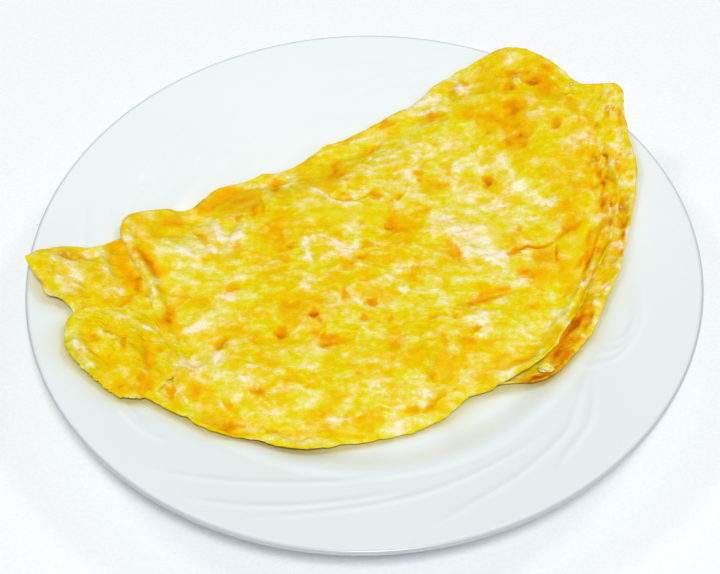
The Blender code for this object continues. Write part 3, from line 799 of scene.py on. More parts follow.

# %% Pale streaks, partly set white and partly painted highlight where the wet film glints: x, y, half-length, half-width, turn, strength
PALE = (
    (33.5, 21, 8, 5, -52, 1.2), (39.5, 12.5, 8, 4, -50, 1.15), (46, 5.5, 7, 3, -42, 1.15),
    (37, 34, 8, 4, -15, 0.65), (53, 23, 7, 3, 5, 0.6), (27, 26, 4, 3, -50, 0.8),
    (46, 30, 9, 4, 0, 0.45), (24, 59, 9, 4, -5, 0.6), (-47, 26, 4, 2.4, 60, 0.5),
    (-59, 15, 4, 2.4, -40, 0.6), (-62, 11, 5, 2, -35, 0.75), (-53, 15, 3, 1.6, 95, 0.8),
    (-52, 12.5, 1.5, 1.2, 0, 0.9), (-65, 15, 4, 1.6, 0, 0.5), (-64, 7, 4, 1.6, -20, 0.6),
    (-58, 9, 2, 1.4, 0, 0.85), (-60, 4, 5, 2, -20, 0.65), (-50, 2, 8, 1.6, -25, 0.5),
    (-12, 15, 2.4, 2, 0, 1.05), (-10, 12, 4, 2, -20, 0.75), (-5, 19, 4, 1.6, 0, 1.0),
    (-1, 18, 2, 1, -20, 0.7), (-5, 11, 3, 1.6, 10, 0.85), (-12, 7, 2.4, 1.2, 0, 0.85),
    (-18, 17, 3.5, 1.2, 100, 0.5), (-21, 33, 3, 2.4, 80, 0.45), (-22, 29, 3, 2, 0, 0.5),
    (-14, 63, 3, 1.6, 10, 0.95), (-23, 60, 2, 2, 0, 0.4), (4, 57, 1.7, 1.6, 0, 0.95),
    (-3, 47, 2, 1.2, 95, 0.85), (18, 81.5, 4, 2, 25, 0.9), (22, 82, 3, 2.4, 0, 1.0),
    (26, 83, 3, 3, 0, 0.8), (25, 78, 3, 1.2, 0, 0.65), (18, 77.5, 1.5, 0.8, 0, 0.65),
    (28, 62.5, 6, 1.2, -15, 0.85), (33, 60, 5, 1.4, -10, 0.85), (25, 58, 5, 1.4, 5, 0.85),
    (26, 56, 2, 1.6, 0, 0.9), (37, 62, 3, 1.2, -10, 0.85), (17, 48, 3, 2.4, 0, 0.85),
    (13, 48, 2.5, 2, 0, 0.8), (8, 44, 3, 2, 10, 0.75), (12, 42, 4, 3, 0, 0.7),
    (9, 39, 3, 2, 0, 0.7), (15, 44, 3, 2.5, 0, 0.7), (20, 50, 2.5, 1.2, 0, 0.75),
    (25, 51.5, 1.6, 1, 0, 0.65), (33.5, 38.5, 2.5, 1.1, 0, 1.0), (37.5, 86, 5.4, 1.7, 105, 1.05),
    (58.3, 83.5, 3.6, 1.3, 90, 1.2), (45, 93, 3, 1.6, 0, 0.65), (50, 88, 3, 0.9, -30, 0.75),
    (66, 89, 2.2, 0.9, -40, 0.85), (55, 95, 7, 1.4, 5, 0.5), (61, 80.5, 1.5, 1.4, 0, 0.65),
    (64, 70, 4, 1.2, -50, 0.85), (46.5, 71, 1.6, 0.8, 0, 0.75), (78, 58, 2.4, 1, 0, 0.85),
    (76, 54, 3, 3, 0, 0.65), (81, 57, 2, 1.4, 0, 0.65), (52, 47, 3.5, 1, -55, 0.95),
    (48, 45, 3, 2.4, 80, 0.85), (46, 48, 4, 2, -10, 0.65), (42, 54, 3, 2, 0, 0.65),
    (36, 59, 3, 1.6, 0, 0.85), (55, 38, 5, 1.4, -50, 0.85), (60, 33, 4, 1.2, -40, 0.75),
    (40, 32, 4, 1.1, 0, 0.95), (43, 35, 3, 1.5, 0, 0.65), (83, 54, 2, 2, 0, 0.55),
    (29, 25, 3.5, 1.2, -45, 1.1), (33, 21, 5, 3.4, -50, 1.05), (37, 16, 4, 3, -45, 0.95),
    (41, 12, 4, 1.8, -40, 0.95), (37, 11.5, 4, 0.8, -40, 1.0), (43, 7, 5, 2, -35, 1.1),
    (46, 4.5, 3, 1.8, -20, 0.9), (47, 1.5, 3.2, 0.9, -20, 1.5), (42, 18, 2.4, 1.6, 0, 0.75),
    (27, 31, 3, 1.2, -15, 0.65), (47, 35, 2.4, 2, 0, 0.65), (48, 24, 5, 1, 5, 0.75),
    (36, 25, 4, 2.5, -20, 0.6), (24, 18, 2.6, 1.6, -40, 0.75), (8, -1.5, 2.4, 1.4, -20, 0.85),
    (4, 0, 3, 1, 0, 0.65), (-1, -3, 2, 1.6, 0, 0.65), (13, -7, 1.7, 1.6, 0, 0.95),
    (9, -5, 2, 1.4, 0, 0.5), (23, -8, 4, 3, -20, 0.75), (26, -5, 2, 2, 0, 0.5),
    (14, 3, 3, 2, 0, 0.4), (32, 3, 2, 2, 0, 0.5), (53, -5, 4, 2, 0, 0.85), (55, 5, 3, 1.6, 0, 0.65),
    (60, 20, 4, 3, 0, 0.5), (81, 19, 3, 2, 80, 0.75), (79.5, 12, 4, 1, 75, 0.65),
    (62, 6, 2.6, 2, 0, 0.5), (65, 28, 3, 1, -35, 0.75), (61, 30, 4, 1, -30, 0.8),
    (84, 29, 3, 0.9, -35, 0.55), (45, -20, 8, 3, 0, 0.5), (50, -25, 6, 1.6, 10, 0.65),
    (54, -28, 4, 1.4, 10, 0.75), (62, -17, 3, 2, 0, 0.55), (48, -15, 4, 2, 0, 0.55),
    (-46, -1, 5, 1.2, -5, 0.85), (-47, -8.5, 3, 1, -30, 0.95), (-45, -10, 1.7, 1, 0, 0.95),
    (-60, -18, 5, 1.6, -50, 0.65), (-56, -21, 3, 3, 0, 0.75), (-52, -23, 2.6, 2, 0, 0.75),
    (-64, -12, 4, 1.4, 110, 0.5), (-49, -35, 2.4, 1.6, 0, 0.95), (-54, -36, 6, 5, 0, 0.55),
    (-47, -42, 3, 2, 0, 0.65), (-38, -38, 2.1, 1.3, 0, 0.95), (-56, -44, 4, 4, 0, 0.45),
    (-30, -54, 6, 1.4, -20, 0.6), (-8, -44, 4, 1, 0, 0.55), (-12, -13, 2.5, 2.4, 0, 1.05),
    (-32, -14, 2, 1.6, 0, 0.65), (-31, -42, 3, 1, -50, 0.55), (-40, -47, 3, 2, 0, 0.65),
    (-60, -3, 5, 1, -10, 0.55), (2, -51.5, 3, 1, 0, 0.95), (28, -13, 3, 2, 0, 0.65),
    (36, -22, 5, 2.4, 0, 0.75), (46, -13, 2.4, 1.6, 0, 0.65), (-6, -17, 2, 2, 0, 0.65),
    (0, -24, 1.3, 1.2, 0, 0.65), (-2, -30, 2, 1, 0, 0.65), (30, -27, 3, 2, 0, 0.55),
    (34, -38, 3, 1.6, 0, 0.55), (40, -26, 3, 2, 0, 0.65), (-46, -21, 2, 1, 0, 0.5),
    (-37, -21.5, 2, 0.7, -20, 0.85),
)

# %% Raised crests: points along each, half-width, height, paleness (a painted highlight along the crest)
CRESTS = (
    (((-41.2, 28.5), (-42, 25), (-43.5, 22), (-45, 18.5), (-47, 13.5)), 1.8, 1.4, 1.6),
    (((-56, 32), (-52.5, 28.5), (-51.5, 25), (-50, 21), (-48.5, 16)), 1.5, 1.1, 1.25),
    (((-35.3, 52), (-34.5, 45), (-34, 40), (-32.5, 35), (-31.5, 31)), 1.3, 0.7, 0.7),
    (((-28, 55), (-26.5, 48), (-25.5, 42), (-24, 35)), 1.4, 0.6, 0.5),
    (((-25.5, 57), (-24.5, 48), (-21.7, 43), (-20, 37)), 0.9, 0.35, 0.7),
    (((-19.8, 44.5), (-16, 40), (-13.5, 37), (-11, 34), (-8.5, 32.4), (-5, 32), (-1, 32.6),
      (3, 35.5)), 1.1, 1.1, 1.7),
    (((-20.6, 17), (-19.5, 12), (-18.8, 8), (-18.2, 3.5)), 1.2, 0.9, 1.9),
    (((-15, 63), (-6, 66.3), (0, 68.2), (5, 69.9), (10, 71.9), (15, 74.4)), 0.8, 0.5, 0.9),
    (((-83, 19), (-81, 13), (-79, 8), (-76.5, 4), (-74, 0), (-72.3, -6),
      (-70.5, -10), (-70, -13)), 2.6, 1.1, 0.55),
    (((-80.6, 11), (-78, 6.5), (-75.5, 2.5)), 0.7, 0.2, 0.7),
    (((-67, 17), (-64, 14), (-61, 11), (-57, 7.5)), 1.3, 0.7, 1.0),
    (((-61.5, 28), (-59, 22), (-56.5, 16)), 0.8, 0.5, 0.7),
    (((26.3, 28), (29.5, 22), (32, 16), (35, 11.5), (42, 6), (51, 0)), 2.4, 0.9, 1.0),
    (((35, 11.8), (38.5, 8.5), (42, 5.8), (46, 3), (50.5, 0)), 0.8, 0.4, 1.7),
    (((84.4, 19), (80.5, 6), (77, -2), (72, -12), (66, -22), (60, -29)), 0.8, 0.6, 0.8),
    (((-62, -44), (-61, -49), (-57, -55)), 0.9, 0.5, 0.7),
    (((-46, -42), (-40, -45), (-33, -48)), 0.9, 0.6, 0.7),
    (((-40.5, -38), (-38, -39.3), (-35.5, -41.5)), 0.9, 0.5, 0.9),
    (((-9, -50), (0, -53), (10, -54), (20, -52), (29, -47.5)), 0.9, 0.6, 0.7),
    (((11, -50), (20, -48), (31, -43.5)), 0.8, 0.5, 0.6),
    (((-37, -48), (-30, -49), (-24, -47.6)), 0.8, 0.5, 0.8),
    (((-39, -51.5), (-33, -55), (-28, -57), (-21, -59.3)), 0.8, 0.5, 0.8),
    (((-13, -58.3), (-8, -57.5), (-4, -56.6)), 0.8, 0.4, 0.7),
    (((2, -58), (7, -59), (13, -59)), 0.8, 0.4, 0.7),
    (((-48.5, -51), (-47.5, -53.5), (-45.6, -55.6)), 0.9, 0.6, 1.3),
    (((4, 0.5), (9, -2), (13, -3.3)), 0.8, 0.4, 0.8),
    (((-48, -8.5), (-46, -10), (-44, -11.5)), 0.8, 0.5, 1.1),
    (((-42.5, -17), (-41.4, -19), (-39.5, -21)), 0.9, 0.6, 1.3),
    (((-45, 0.3), (-43, -0.4), (-40, -1.2)), 0.7, 0.4, 0.9),
    (((52.5, 49), (53, 46), (54.6, 43.5)), 0.8, 0.4, 1.1),
    (((49, 40), (54.5, 36.3), (61, 32.4)), 0.9, 0.5, 0.9),
    (((60, 74), (63.5, 70), (68, 66.4)), 0.8, 0.4, 0.9),
    (((24, 64.5), (30, 62), (34, 59.5)), 1.0, 0.5, 0.9),
    (((59.2, 86.5), (59, 83), (59.3, 79.5)), 1.0, 0.8, 1.3),
    (((38.8, 90), (37.6, 86), (36.2, 82)), 1.2, 0.6, 1.1),
)

# %% Creases: points along each, half-width, depth, brownness (painted shade in the crease, with some browning)
CREASES = (
    (((49.5, 7), (54, 8.5), (57, 10.3), (60, 9.8), (64, 10.5), (67.5, 12.3)), 0.5, 0.9, 1.3),
    (((67.4, 11), (66.5, 5), (65.3, 0.5)), 0.5, 0.7, 1.15),
    (((66, 11), (70, 15), (72.5, 18), (74, 21), (75.4, 26)), 1.5, 1.0, 1.0),
    (((-10.6, 35.4), (-7, 34.7), (-3.4, 35)), 0.8, 1.6, 1.6),
    (((-31, 54), (-31.3, 47), (-31.2, 40.5)), 1.5, 0.7, 0.85),
    (((-80, 17), (-78.5, 13), (-76, 10), (-72.5, 5.5), (-71, 0.5)), 2.8, 0.4, 0.95),
    (((-74, 7), (-72.5, 5), (-71.8, 1.5)), 1.2, 0.4, 1.1),
    (((-76, -3.5), (-74, -10), (-73.2, -15), (-72.4, -20)), 1.2, 0.5, 0.8),
    (((-65, -9.5), (-66.5, -15), (-68, -19), (-69, -22)), 2.2, 0.3, 0.95),
    (((-68, -3.7), (-64, -6), (-58, -8), (-53, -11)), 1.1, 0.7, 0.8),
    (((-58.5, 25), (-55.5, 19.5), (-54, 15.5)), 1.3, 0.9, 0.8),
    (((35.6, -16.5), (38, -12.5), (44, -10.5), (51, -9.2)), 1.5, 1.0, 0.95),
    (((21, 9.5), (18.9, 5), (18, 1.5), (15.8, -3.5)), 1.0, 0.7, 0.65),
    (((82.3, 17), (79, 6), (77, 2), (73.5, -6), (71.6, -10)), 0.8, 0.7, 0.85),
    (((86.4, 49), (87, 44.5), (88.2, 41.4)), 0.6, 0.9, 1.25),
    (((86.3, 38), (87.2, 35), (88.4, 32)), 0.7, 0.6, 0.95),
    (((65.5, 92.6), (71, 88), (74.5, 83), (76.3, 76.5)), 1.5, 0.5, 0.75),
    (((-50, 8.2), (-44, 12), (-40, 15)), 1.0, 0.4, 0.5),
    (((13, 28), (10.5, 23), (9.5, 18)), 1.6, 0.8, 0.7),
    (((31.3, 12.5), (33, 7.5), (33.5, 3)), 1.2, 0.7, 0.6),
    (((5.8, 66.3), (4.2, 62.5), (2, 59.5)), 1.0, 0.7, 0.75),
    (((26.7, -26), (26.3, -31), (27, -35.5)), 1.2, 0.6, 0.7),
    (((19.8, -52.5), (24, -49.5), (28.5, -51)), 1.2, 0.6, 0.7),
)

# %% Laps, where a pleat lies over the sheet on its left hand: points along each, height, reach
LAPS = (
    (((-61.5, 41), (-60, 36), (-57.5, 33.7), (-54.5, 32), (-52, 29.8),
      (-49, 28.5), (-45, 28.2), (-41, 28.7), (-36.5, 30.3), (-34.6, 33),
      (-35.4, 38), (-36, 43), (-36.5, 48), (-38.2, 53)), 1.4, 9.0),
    (((15.5, 75.2), (10, 72.6), (3, 69.6), (-5, 67), (-14, 64), (-23, 60.5)), 0.8, 6.0),
    (((-20, 45), (-14, 38.2), (-10, 34.6), (-3, 34), (5, 38)), -1.1, 6.0),
)

# %% Broad tones: where the sheet as a whole is paler (or, below nought, a deeper yellow)
TONES = (
    (38, 14, 17, 9, -50, 0.5), (-53, -34, 16, 12, 0, 0.3), (22, 50, 18, 9, 5, 0.2),
    (-9, 14, 10, 7, 0, 0.3), (-47, 38, 14, 8, 30, -0.4), (-30, 18, 7, 12, 0, -0.35),
    (-62, 10, 8, 7, -30, 0.35), (40, 34, 18, 7, -10, 0.25), (24, 81, 8, 4, 30, 0.4),
    (60, 72, 14, 12, 0, -0.3), (78, 8, 24, 6, 70, -0.2), (-10, 50, 12, 9, 30, -0.35),
    (20, -38, 14, 10, 0, -0.15), (36, -22, 12, 6, 0, 0.25), (-22, -14, 10, 8, 0, -0.15),
    (-48, 23, 6, 6, 0, 0.3), (55, 98, 14, 6, 0, 0.4), (79, 81, 8, 7, 0, 0.4),
    (-65, 5, 7, 10, 0, 0.4), (-66, 36, 5, 4, 0, 0.45), (60, 17, 9, 9, 0, 0.35),
    (41, 28, 10, 4, 0, 0.3), (25, 16, 5, 5, 0, 0.25), (13, 46, 8, 5, 0, 0.25),
    (20, -14, 9, 5, 0, 0.4), (42, -24, 9, 4, 0, 0.25), (-52, -18, 9, 8, 0, 0.25),
    (-50, -47, 12, 6, 0, 0.3), (-33, -55, 8, 4, 0, 0.3), (-35, -14, 6, 5, 0, 0.25),
    (60, 3, 8, 5, 0, 0.25), (65, 50, 8, 7, 0, -0.25), (12, 22, 9, 7, 0, -0.35),
    (-5, -46, 34, 8, 0, 0.1), (-74, 22, 9, 7, 0, -0.2),
)
print(len(UPPER_FORMS), "forms,", len(BROWNED_AND_SHADOW_PATCHES), "browned patches,", len(CRESTS), "crests")


# %% The marks as functions of place
def add_forms(points, forms):
    total = np.zeros(len(points))
    for values in forms:
        total += form(points, *values)
    return total


def ragged(points, seed):
    """The points shifted a little this way and that, so that marks get uneven edges."""
    broad = np.stack([lumps(points, 3.1, seed), lumps(points, 3.1, seed + 1)], axis=1)
    fine = np.stack([lumps(points, 1.2, seed + 2), lumps(points, 1.2, seed + 3)], axis=1)
    return points + 0.8 * broad + 0.45 * fine


def strongest(points, patches, seed):
    """The strongest of some oval patches at each point, with ragged edges; large ones wander more."""
    shifted = ragged(points, seed)
    wander = 2.6 * np.stack([lumps(points, 6.0, seed + 5), lumps(points, 6.0, seed + 6)], axis=1)
    total = np.zeros(len(points))
    for x, y, half_length, half_width, turn, strength in patches:
        places = shifted + wander * (0.15 if half_length < 4.0 else min(1.0, half_width / 5.0))
        reach = 2.2 * max(half_length, half_width)
        near = np.where((np.abs(places - (x, y)) < reach).all(axis=1))[0]
        patch = form(places[near], x, y, half_length, half_width, turn, 1.0)
        patch = strength * np.exp(-(-np.log(np.maximum(patch, 1e-9)) / 1.2) ** 1.25)
        total[near] = np.maximum(total[near], patch)
    return total


def blister_dents(points, blisters):
    """Depth of the pits, each with a low raised lip, and how deep inside one a point is."""
    shifted = points + 0.5 * np.stack([lumps(points, 2.2, 31), lumps(points, 2.2, 32)], axis=1)
    height = np.zeros(len(points))
    inside = np.zeros(len(points))
    for x, y, radius, depth in blisters:
        offset = shifted - (x, y)
        near = np.where((np.abs(offset) < 2.6 * radius).all(axis=1))[0]
        away = np.hypot(*offset[near].T) / radius
        pit = np.exp(-1.5 * away ** 2.4)
        lip = np.exp(-((away - 1.4) / 0.4) ** 2)
        height[near] += depth * (0.22 * lip - 0.7 * pit)
        inside[near] = np.maximum(inside[near], pit * min(1.0, depth))
    return height, inside


def scattered_blisters(outline, count, seed):
    """Small blisters strewn over a leaf, away from its edge."""
    chance = np.random.default_rng(seed)
    spots = chance.uniform(outline.min(axis=0), outline.max(axis=0), (count, 2))
    spots = spots[distance_inside(spots, outline) > 4.0]
    sizes = chance.uniform(0.9, 1.7, len(spots))
    depths = chance.uniform(0.25, 0.7, len(spots))
    return [(x, y, size, depth) for (x, y), size, depth in zip(spots, sizes, depths)]


def near_line(points, knots, reach):
    """The points within reach of a curve's box, and for them the distance, share and side."""
    line = smooth_curve(knots, 40, closed=False)
    in_box = (points > line.min(axis=0) - reach) & (points < line.max(axis=0) + reach)
    near = np.where(in_box.all(axis=1))[0]
    distance, share = nearest_on_line(points[near], line)
    index = np.minimum((share * (len(line) - 1)).astype(int), len(line) - 2)
    step = line[index + 1] - line[index]
    offset = points[near] - line[index]
    side = np.sign(step[:, 0] * offset[:, 1] - step[:, 1] * offset[:, 0])
    return near, distance, share, side


def line_marks(points, marks, seed):
    """Height and colour strength of narrow marks that run along curves."""
    shifted = points + 0.35 * np.stack([lumps(points, 3.0, seed), lumps(points, 3.0, seed + 1)], axis=1)
    height = np.zeros(len(points))
    colour = np.zeros(len(points))
    for knots, half_width, rise, strength in marks:
        near, distance, share, side = near_line(shifted, knots, 3.0 * half_width)
        taper = np.sin(math.pi * np.clip(share, 0.03, 0.97)) ** 0.6
        profile = taper * np.exp(-(distance / half_width) ** 2)
        height[near] = np.maximum(height[near], rise * profile)
        colour[near] = np.maximum(colour[near], strength * profile)
    return height, colour


def lap_steps(points, laps):
    """Height of the pleats, crisp at the edge and dying away behind, and the line at each foot, which
    the colour darkens as painted shade.
    """
    shifted = points + 0.5 * np.stack([lumps(points, 4.0, 43), lumps(points, 4.0, 44)], axis=1)
    height = np.zeros(len(points))
    foot = np.zeros(len(points))
    for knots, rise, reach in laps:
        near, distance, share, side = near_line(shifted, knots, 2.5 * reach)
        taper = np.sin(math.pi * np.clip(share, 0.0, 1.0)) ** 0.35
        behind = ease(side * distance, -0.3, 0.9) * np.exp(-(distance / reach) ** 2)
        before = np.exp(-((side * distance + 0.8) / 0.8) ** 2)
        height[near] += taper * rise * (behind - 0.3 * before)
        foot[near] = np.maximum(foot[near], taper * np.exp(-(distance / 0.8) ** 2))
    return height, foot


def sheet_marks(points, spots, forms, crests, creases, browned, pale, line_seed, patch_seed, calm=0.0):
    """What a leaf gets from its placed marks: relief, how brown, how pale, and where pits are."""
    dents, pits = blister_dents(points, spots)
    # Creases add brown that is mostly painted shade down in the crease
    cut, crease_brown_and_shade = line_marks(points, creases, line_seed)
    # Crests add paleness that is a painted highlight along each ridge
    raised, crest_highlight = line_marks(points, crests, line_seed + 4)
    relief = add_forms(points, forms) + dents * (1.0 - calm) + raised - cut
    brown_and_shade_here = np.maximum(strongest(points, browned, patch_seed), crease_brown_and_shade)
    pale_here = np.maximum(strongest(points, pale, patch_seed + 4), crest_highlight)
    return relief, brown_and_shade_here, pale_here, pits


def cell_crests(points, size, seed, stretch, turn):
    """Crests that close round small cells, between -1 in the cells and 1 on top."""
    return 1.0 - 2.0 * np.minimum(np.abs(lumps(points, size, seed, stretch, turn)) * 1.7, 1.0)


def curd(points, seed):
    """The crinkled skin of set egg, about -1 in its hollows and 1 on its crests."""
    warp = 1.7 * np.stack([lumps(points, 7.0, seed + 1), lumps(points, 7.0, seed + 2)], axis=1)
    moved = points + warp
    coarse = cell_crests(moved, 7.0, seed + 3, 1.7, -14.0)
    fine = cell_crests(moved, 3.4, seed + 4, 1.8, -8.0)
    grain = lumps(moved, 1.7, seed + 5, 1.7, -5.0)
    return 0.42 * coarse + 0.36 * fine + 0.30 * grain


print("marks ready")

# %% [markdown]
# ## From a ball to a leaf
#
# Each vertex of a ball has a ring and a place around it.  The place around picks a point of
# the leaf's outline, and the ring says how far from the middle towards that point it goes,
# on the upper side first and then back underneath.  Near the edge the rings follow a quarter
# circle, so the edge comes out rounded.  Heights are then laid on: the drape, the thickness
# (thin at the edge, fuller inside), and the relief.

# %% Rings of a leaf
LEAF_SEGMENTS = 640
LEAF_RINGS = 154
UNDER_RINGS = 14
UNDERSIDE_BROWN = 0.35
EDGE_RINGS = 9
BALL_RADIUS = 0.05


def ring_reach(count, edge_rings, edge_width, radius):
    """Share of the way from the middle to the edge, for each ring and each spoke."""
    turn = np.linspace(0.5 * math.pi, 0.0, edge_rings + 1)[:, None]
    edge = 1.0 - edge_width * (1.0 - np.cos(turn)) / radius[None]
    inner = np.linspace(0.0, 1.0, count - edge_rings + 1)[:, None] * edge[:1]
    return np.vstack((inner[:-1], edge))


def press_ball(name, outline, middle, edge_width, rings, under_rings):
    """A ball pressed flat inside an outline: its points in millimetres, and which are on top."""
    segments = len(outline)
    deselect_all()
    bpy.ops.mesh.primitive_uv_sphere_add(
        segments=segments // 2, ring_count=rings // 2, radius=BALL_RADIUS)
    item = bpy.context.object
    item.name = name
    bpy.ops.object.mode_set(mode="EDIT")
    bpy.ops.mesh.select_all(action="SELECT")
    bpy.ops.mesh.subdivide(number_cuts=1)
    bpy.ops.object.mode_set(mode="OBJECT")
    places = read_places(item)
    drop = np.arccos(np.clip(places[:, 2] / np.linalg.norm(places, axis=1), -1.0, 1.0))
    ring = np.rint(drop * rings / math.pi).astype(int)
    around = np.arctan2(places[:, 1], places[:, 0])
    spoke = np.rint(around * segments / (2.0 * math.pi)).astype(int) % segments
    arms = outline - middle
    radius = np.hypot(arms[:, 0], arms[:, 1])
    upper = ring_reach(rings - under_rings, EDGE_RINGS, edge_width, radius)
    under = ring_reach(under_rings, EDGE_RINGS // 2, edge_width, radius)
    reach = np.vstack((upper, under[::-1][1:]))
    points = middle + arms[spoke] * reach[ring, spoke][:, None]
    return item, points, ring <= rings - under_rings


# %% Heights of a leaf
def lay_leaf(item, points, on_top, inward, ground, thick, edge_thick, edge_width, relief, seed):
    """Give the pressed ball its heights, in millimetres."""
    full = np.sqrt(1.0 - (1.0 - np.clip(inward / edge_width, 0.0, 1.0)) ** 2)
    near_edge = 1.0 - ease(inward, 0.0, 8.0)
    waves = 1.0 + lumps(points, 8.0, seed + 11) + 0.6 * lumps(points, 4.0, seed + 12)
    ground = ground + EDGE_LOW + 0.25 * near_edge * waves
    uneven = edge_thick * (1.0 + 0.3 * lumps(points, 7.0, seed + 13))
    body = uneven + (thick - uneven) * ease(inward, 1.0, 20.0)
    edge_height = ground + 0.42 * uneven
    top = edge_height + (body - 0.42 * uneven) * full + relief * ease(inward, 0.0, 2.2)
    bottom = edge_height - 0.42 * uneven * full
    move_vertices(item, np.column_stack((points, np.where(on_top, top, bottom))) * MM)


def store(item, name, values):
    """Keep a number for each vertex, which the material can read by name."""
    layer = item.data.attributes.new(name=name, type="FLOAT", domain="POINT")
    layer.data.foreach_set("value", np.ascontiguousarray(values, dtype=np.float32))


def finish_leaf(item):
    deselect_all()
    item.select_set(True)
    bpy.context.view_layer.objects.active = item
    item.data.materials.append(egg_skin)
    bpy.ops.object.mode_set(mode="EDIT")
    bpy.ops.mesh.select_all(action="SELECT")
    bpy.ops.mesh.normals_make_consistent(inside=False)
    bpy.ops.object.mode_set(mode="OBJECT")
    bpy.ops.object.shade_smooth()
    bpy.ops.object.transform_apply(location=True, rotation=True, scale=True)
    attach(item, "root")
    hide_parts("omelette")
    print(item.name, "has", len(item.data.polygons), "faces")


print("leaf tools ready")

# %% [markdown]
# ## Cooked egg
#
# Egg is a soft solid that light enters, so a little subsurface makes its shadows warm.  Its
# colour runs from lemon yellow over deep yellow to orange where it browned and where shade is
# painted into creases, pits and gaps, with cream streaks of set white and of painted
# highlight.  A wet film lies on it in places, so the gloss breaks up: that is the coat, whose
# weight changes over the surface.

# %% Egg material
skin, tree, shader, place = new_material("cooked_egg")
brown = attribute(tree, "brown")
pale = attribute(tree, "pale")
curdled = attribute(tree, "curdled")
calm = attribute(tree, "calm")
marbling = noise(place, 5.2, 4.0, stretch=(0.7, 1.0, 1.0), offset=5.0, roughness=0.76) - 0.5
mottle = noise(place, 6.0, 3.0, offset=9.0, roughness=0.55) - 0.5
warmth = noise(place, 9.0, 3.0, offset=13.0, roughness=0.6)
LEMON_SCALE = (
    (0.06, (229, 200, 0)), (0.27, (230, 209, 0)), (0.40, (230, 215, 30)), (0.50, (231, 219, 66)),
    (0.60, (233, 222, 98)), (0.70, (237, 226, 130)), (0.82, (242, 231, 160)), (0.97, (249, 239, 202)),
)
GOLD_SCALE = (
    (0.06, (231, 188, 0)), (0.27, (233, 199, 0)), (0.40, (235, 205, 34)), (0.50, (236, 210, 70)),
    (0.60, (238, 214, 102)), (0.70, (242, 220, 134)), (0.82, (247, 226, 170)), (0.97, (251, 236, 210)),
)
BROWN_SCALE = (
    (0.0, (236, 200, 0)), (0.35, (237, 186, 0)), (0.6, (233, 166, 0)), (0.8, (222, 142, 0)),
    (1.0, (198, 104, 0)),
)
# pale brings in the cream of set white and painted highlights alike
creaminess = marbling * (calm * -1.5 + 2.5) + pale * 0.36 + curdled * 0.18 - brown * 0.18 + 0.455
lemon = colour_scale(creaminess, LEMON_SCALE)
gold = colour_scale(creaminess, GOLD_SCALE)
yellow = mix_colours(lemon, gold, (warmth + brown * 0.5).ramp(0.40, 0.68))
# brown holds browning and also painted shade in creases, pits, grooves and gaps
brown_and_shade_amount = brown * (1.0 - marbling * 1.1) + mottle * 1.4 - curdled * 0.08
brown_and_shade_colour = colour_scale(brown_and_shade_amount * 0.7, BROWN_SCALE)
colour = mix_colours(yellow, brown_and_shade_colour, brown_and_shade_amount.ramp(0.12, 0.75) * (1.0 - creaminess.ramp(0.6, 1.1)))
tree.links.new(colour.output, shader.inputs["Base Color"])

film = noise(place, 5.0, 3.0, stretch=(0.5, 1.0, 1.0), offset=2.0) - 0.5
tree.links.new((film * 0.3 + 0.5).output, shader.inputs["Roughness"])
tree.links.new((pale * 0.6 + film * 2.4).ramp(0.1, 1.1).output, shader.inputs["Coat Weight"])
shader.inputs["Coat Roughness"].default_value = 0.24
shader.inputs["Coat IOR"].default_value = 1.5
shader.inputs["Specular IOR Level"].default_value = 0.02
shader.inputs["Subsurface Weight"].default_value = 0.2
shader.inputs["Subsurface Radius"].default_value = (1.0, 0.6, 0.12)
shader.inputs["Subsurface Scale"].default_value = 0.002
crinkle = noise(place, 1.1, 3.0, stretch=(0.5, 1.0, 1.0), offset=7.0)
bump_values = {"Strength": 0.4, "Distance": 0.0006, "Height": crinkle + marbling * 0.4}
bump = add_node(tree, "ShaderNodeBump", {}, bump_values)
tree.links.new(bump.output, shader.inputs["Normal"])
egg_skin = skin
print("egg material ready")

# %% [markdown]
# ## The upper leaf
#
# This is the half of the sheet that was folded over, and what is mostly seen.  Along its
# open right side it steps down in thin layers, and its lower edge is a soft low roll.

# %% Smooth places, where the skin hardly crinkled: x, y, half-length, half-width, turn, strength
SMOOTH = (
    (46.5, 16.5, 7, 5.5, 10, 1.0), (-8, 27.5, 15, 4.5, 3, 0.9), (-47, 38, 12, 8, 30, 0.6),
    (30, 4, 8, 14, 20, 0.4), (72, 2, 7, 12, -20, 0.5), (20, 70, 12, 5, 30, 0.5),
    (-12, 50, 9, 7, 30, 0.6), (-30, 18, 6, 11, 0, 0.6), (-76, 24, 8, 6, 0, 0.5),
    (6, 71, 12, 4, 25, 0.6),
)
print(len(SMOOTH), "smooth places")


# %% Upper leaf
UPPER_EDGE = 2.8
UPPER_EDGE_THICK = 2.0
ROLL_THICK = 1.5
UPPER_SPOTS = list(BLISTERS) + scattered_blisters(UPPER_CURVE, 420, 5)
# Distance from the edge, width and depth of each step down.
LAYER_STEPS = ((2.4, 1.2, 0.5), (5.2, 1.3, 0.45), (8.8, 1.7, 0.4))


def layered_edge(points, inward):
    """The open right side steps down in thin layers; also how close a point is to a step."""
    side = ease(points[:, 0], 52.0, 72.0) * (1.0 - ease(points[:, 1], 46.0, 68.0))
    waver = inward + 1.3 * lumps(points, 11.0, 61)
    waver += 0.6 * lumps(points, 4.0, 62) + 0.25 * lumps(points, 1.6, 65)
    drop = np.zeros(len(points))
    line = np.zeros(len(points))
    for where, width, depth in LAYER_STEPS:
        drop += depth * (1.0 - ease(waver, where - 0.5 * width, where + 0.5 * width))
        line = np.maximum(line, np.exp(-((waver - where + 0.3) / 0.8) ** 2))
    broken = 0.3 + 0.7 * ease(lumps(points, 5.0, 66), -0.3, 0.4)
    return drop * side, line * side * broken


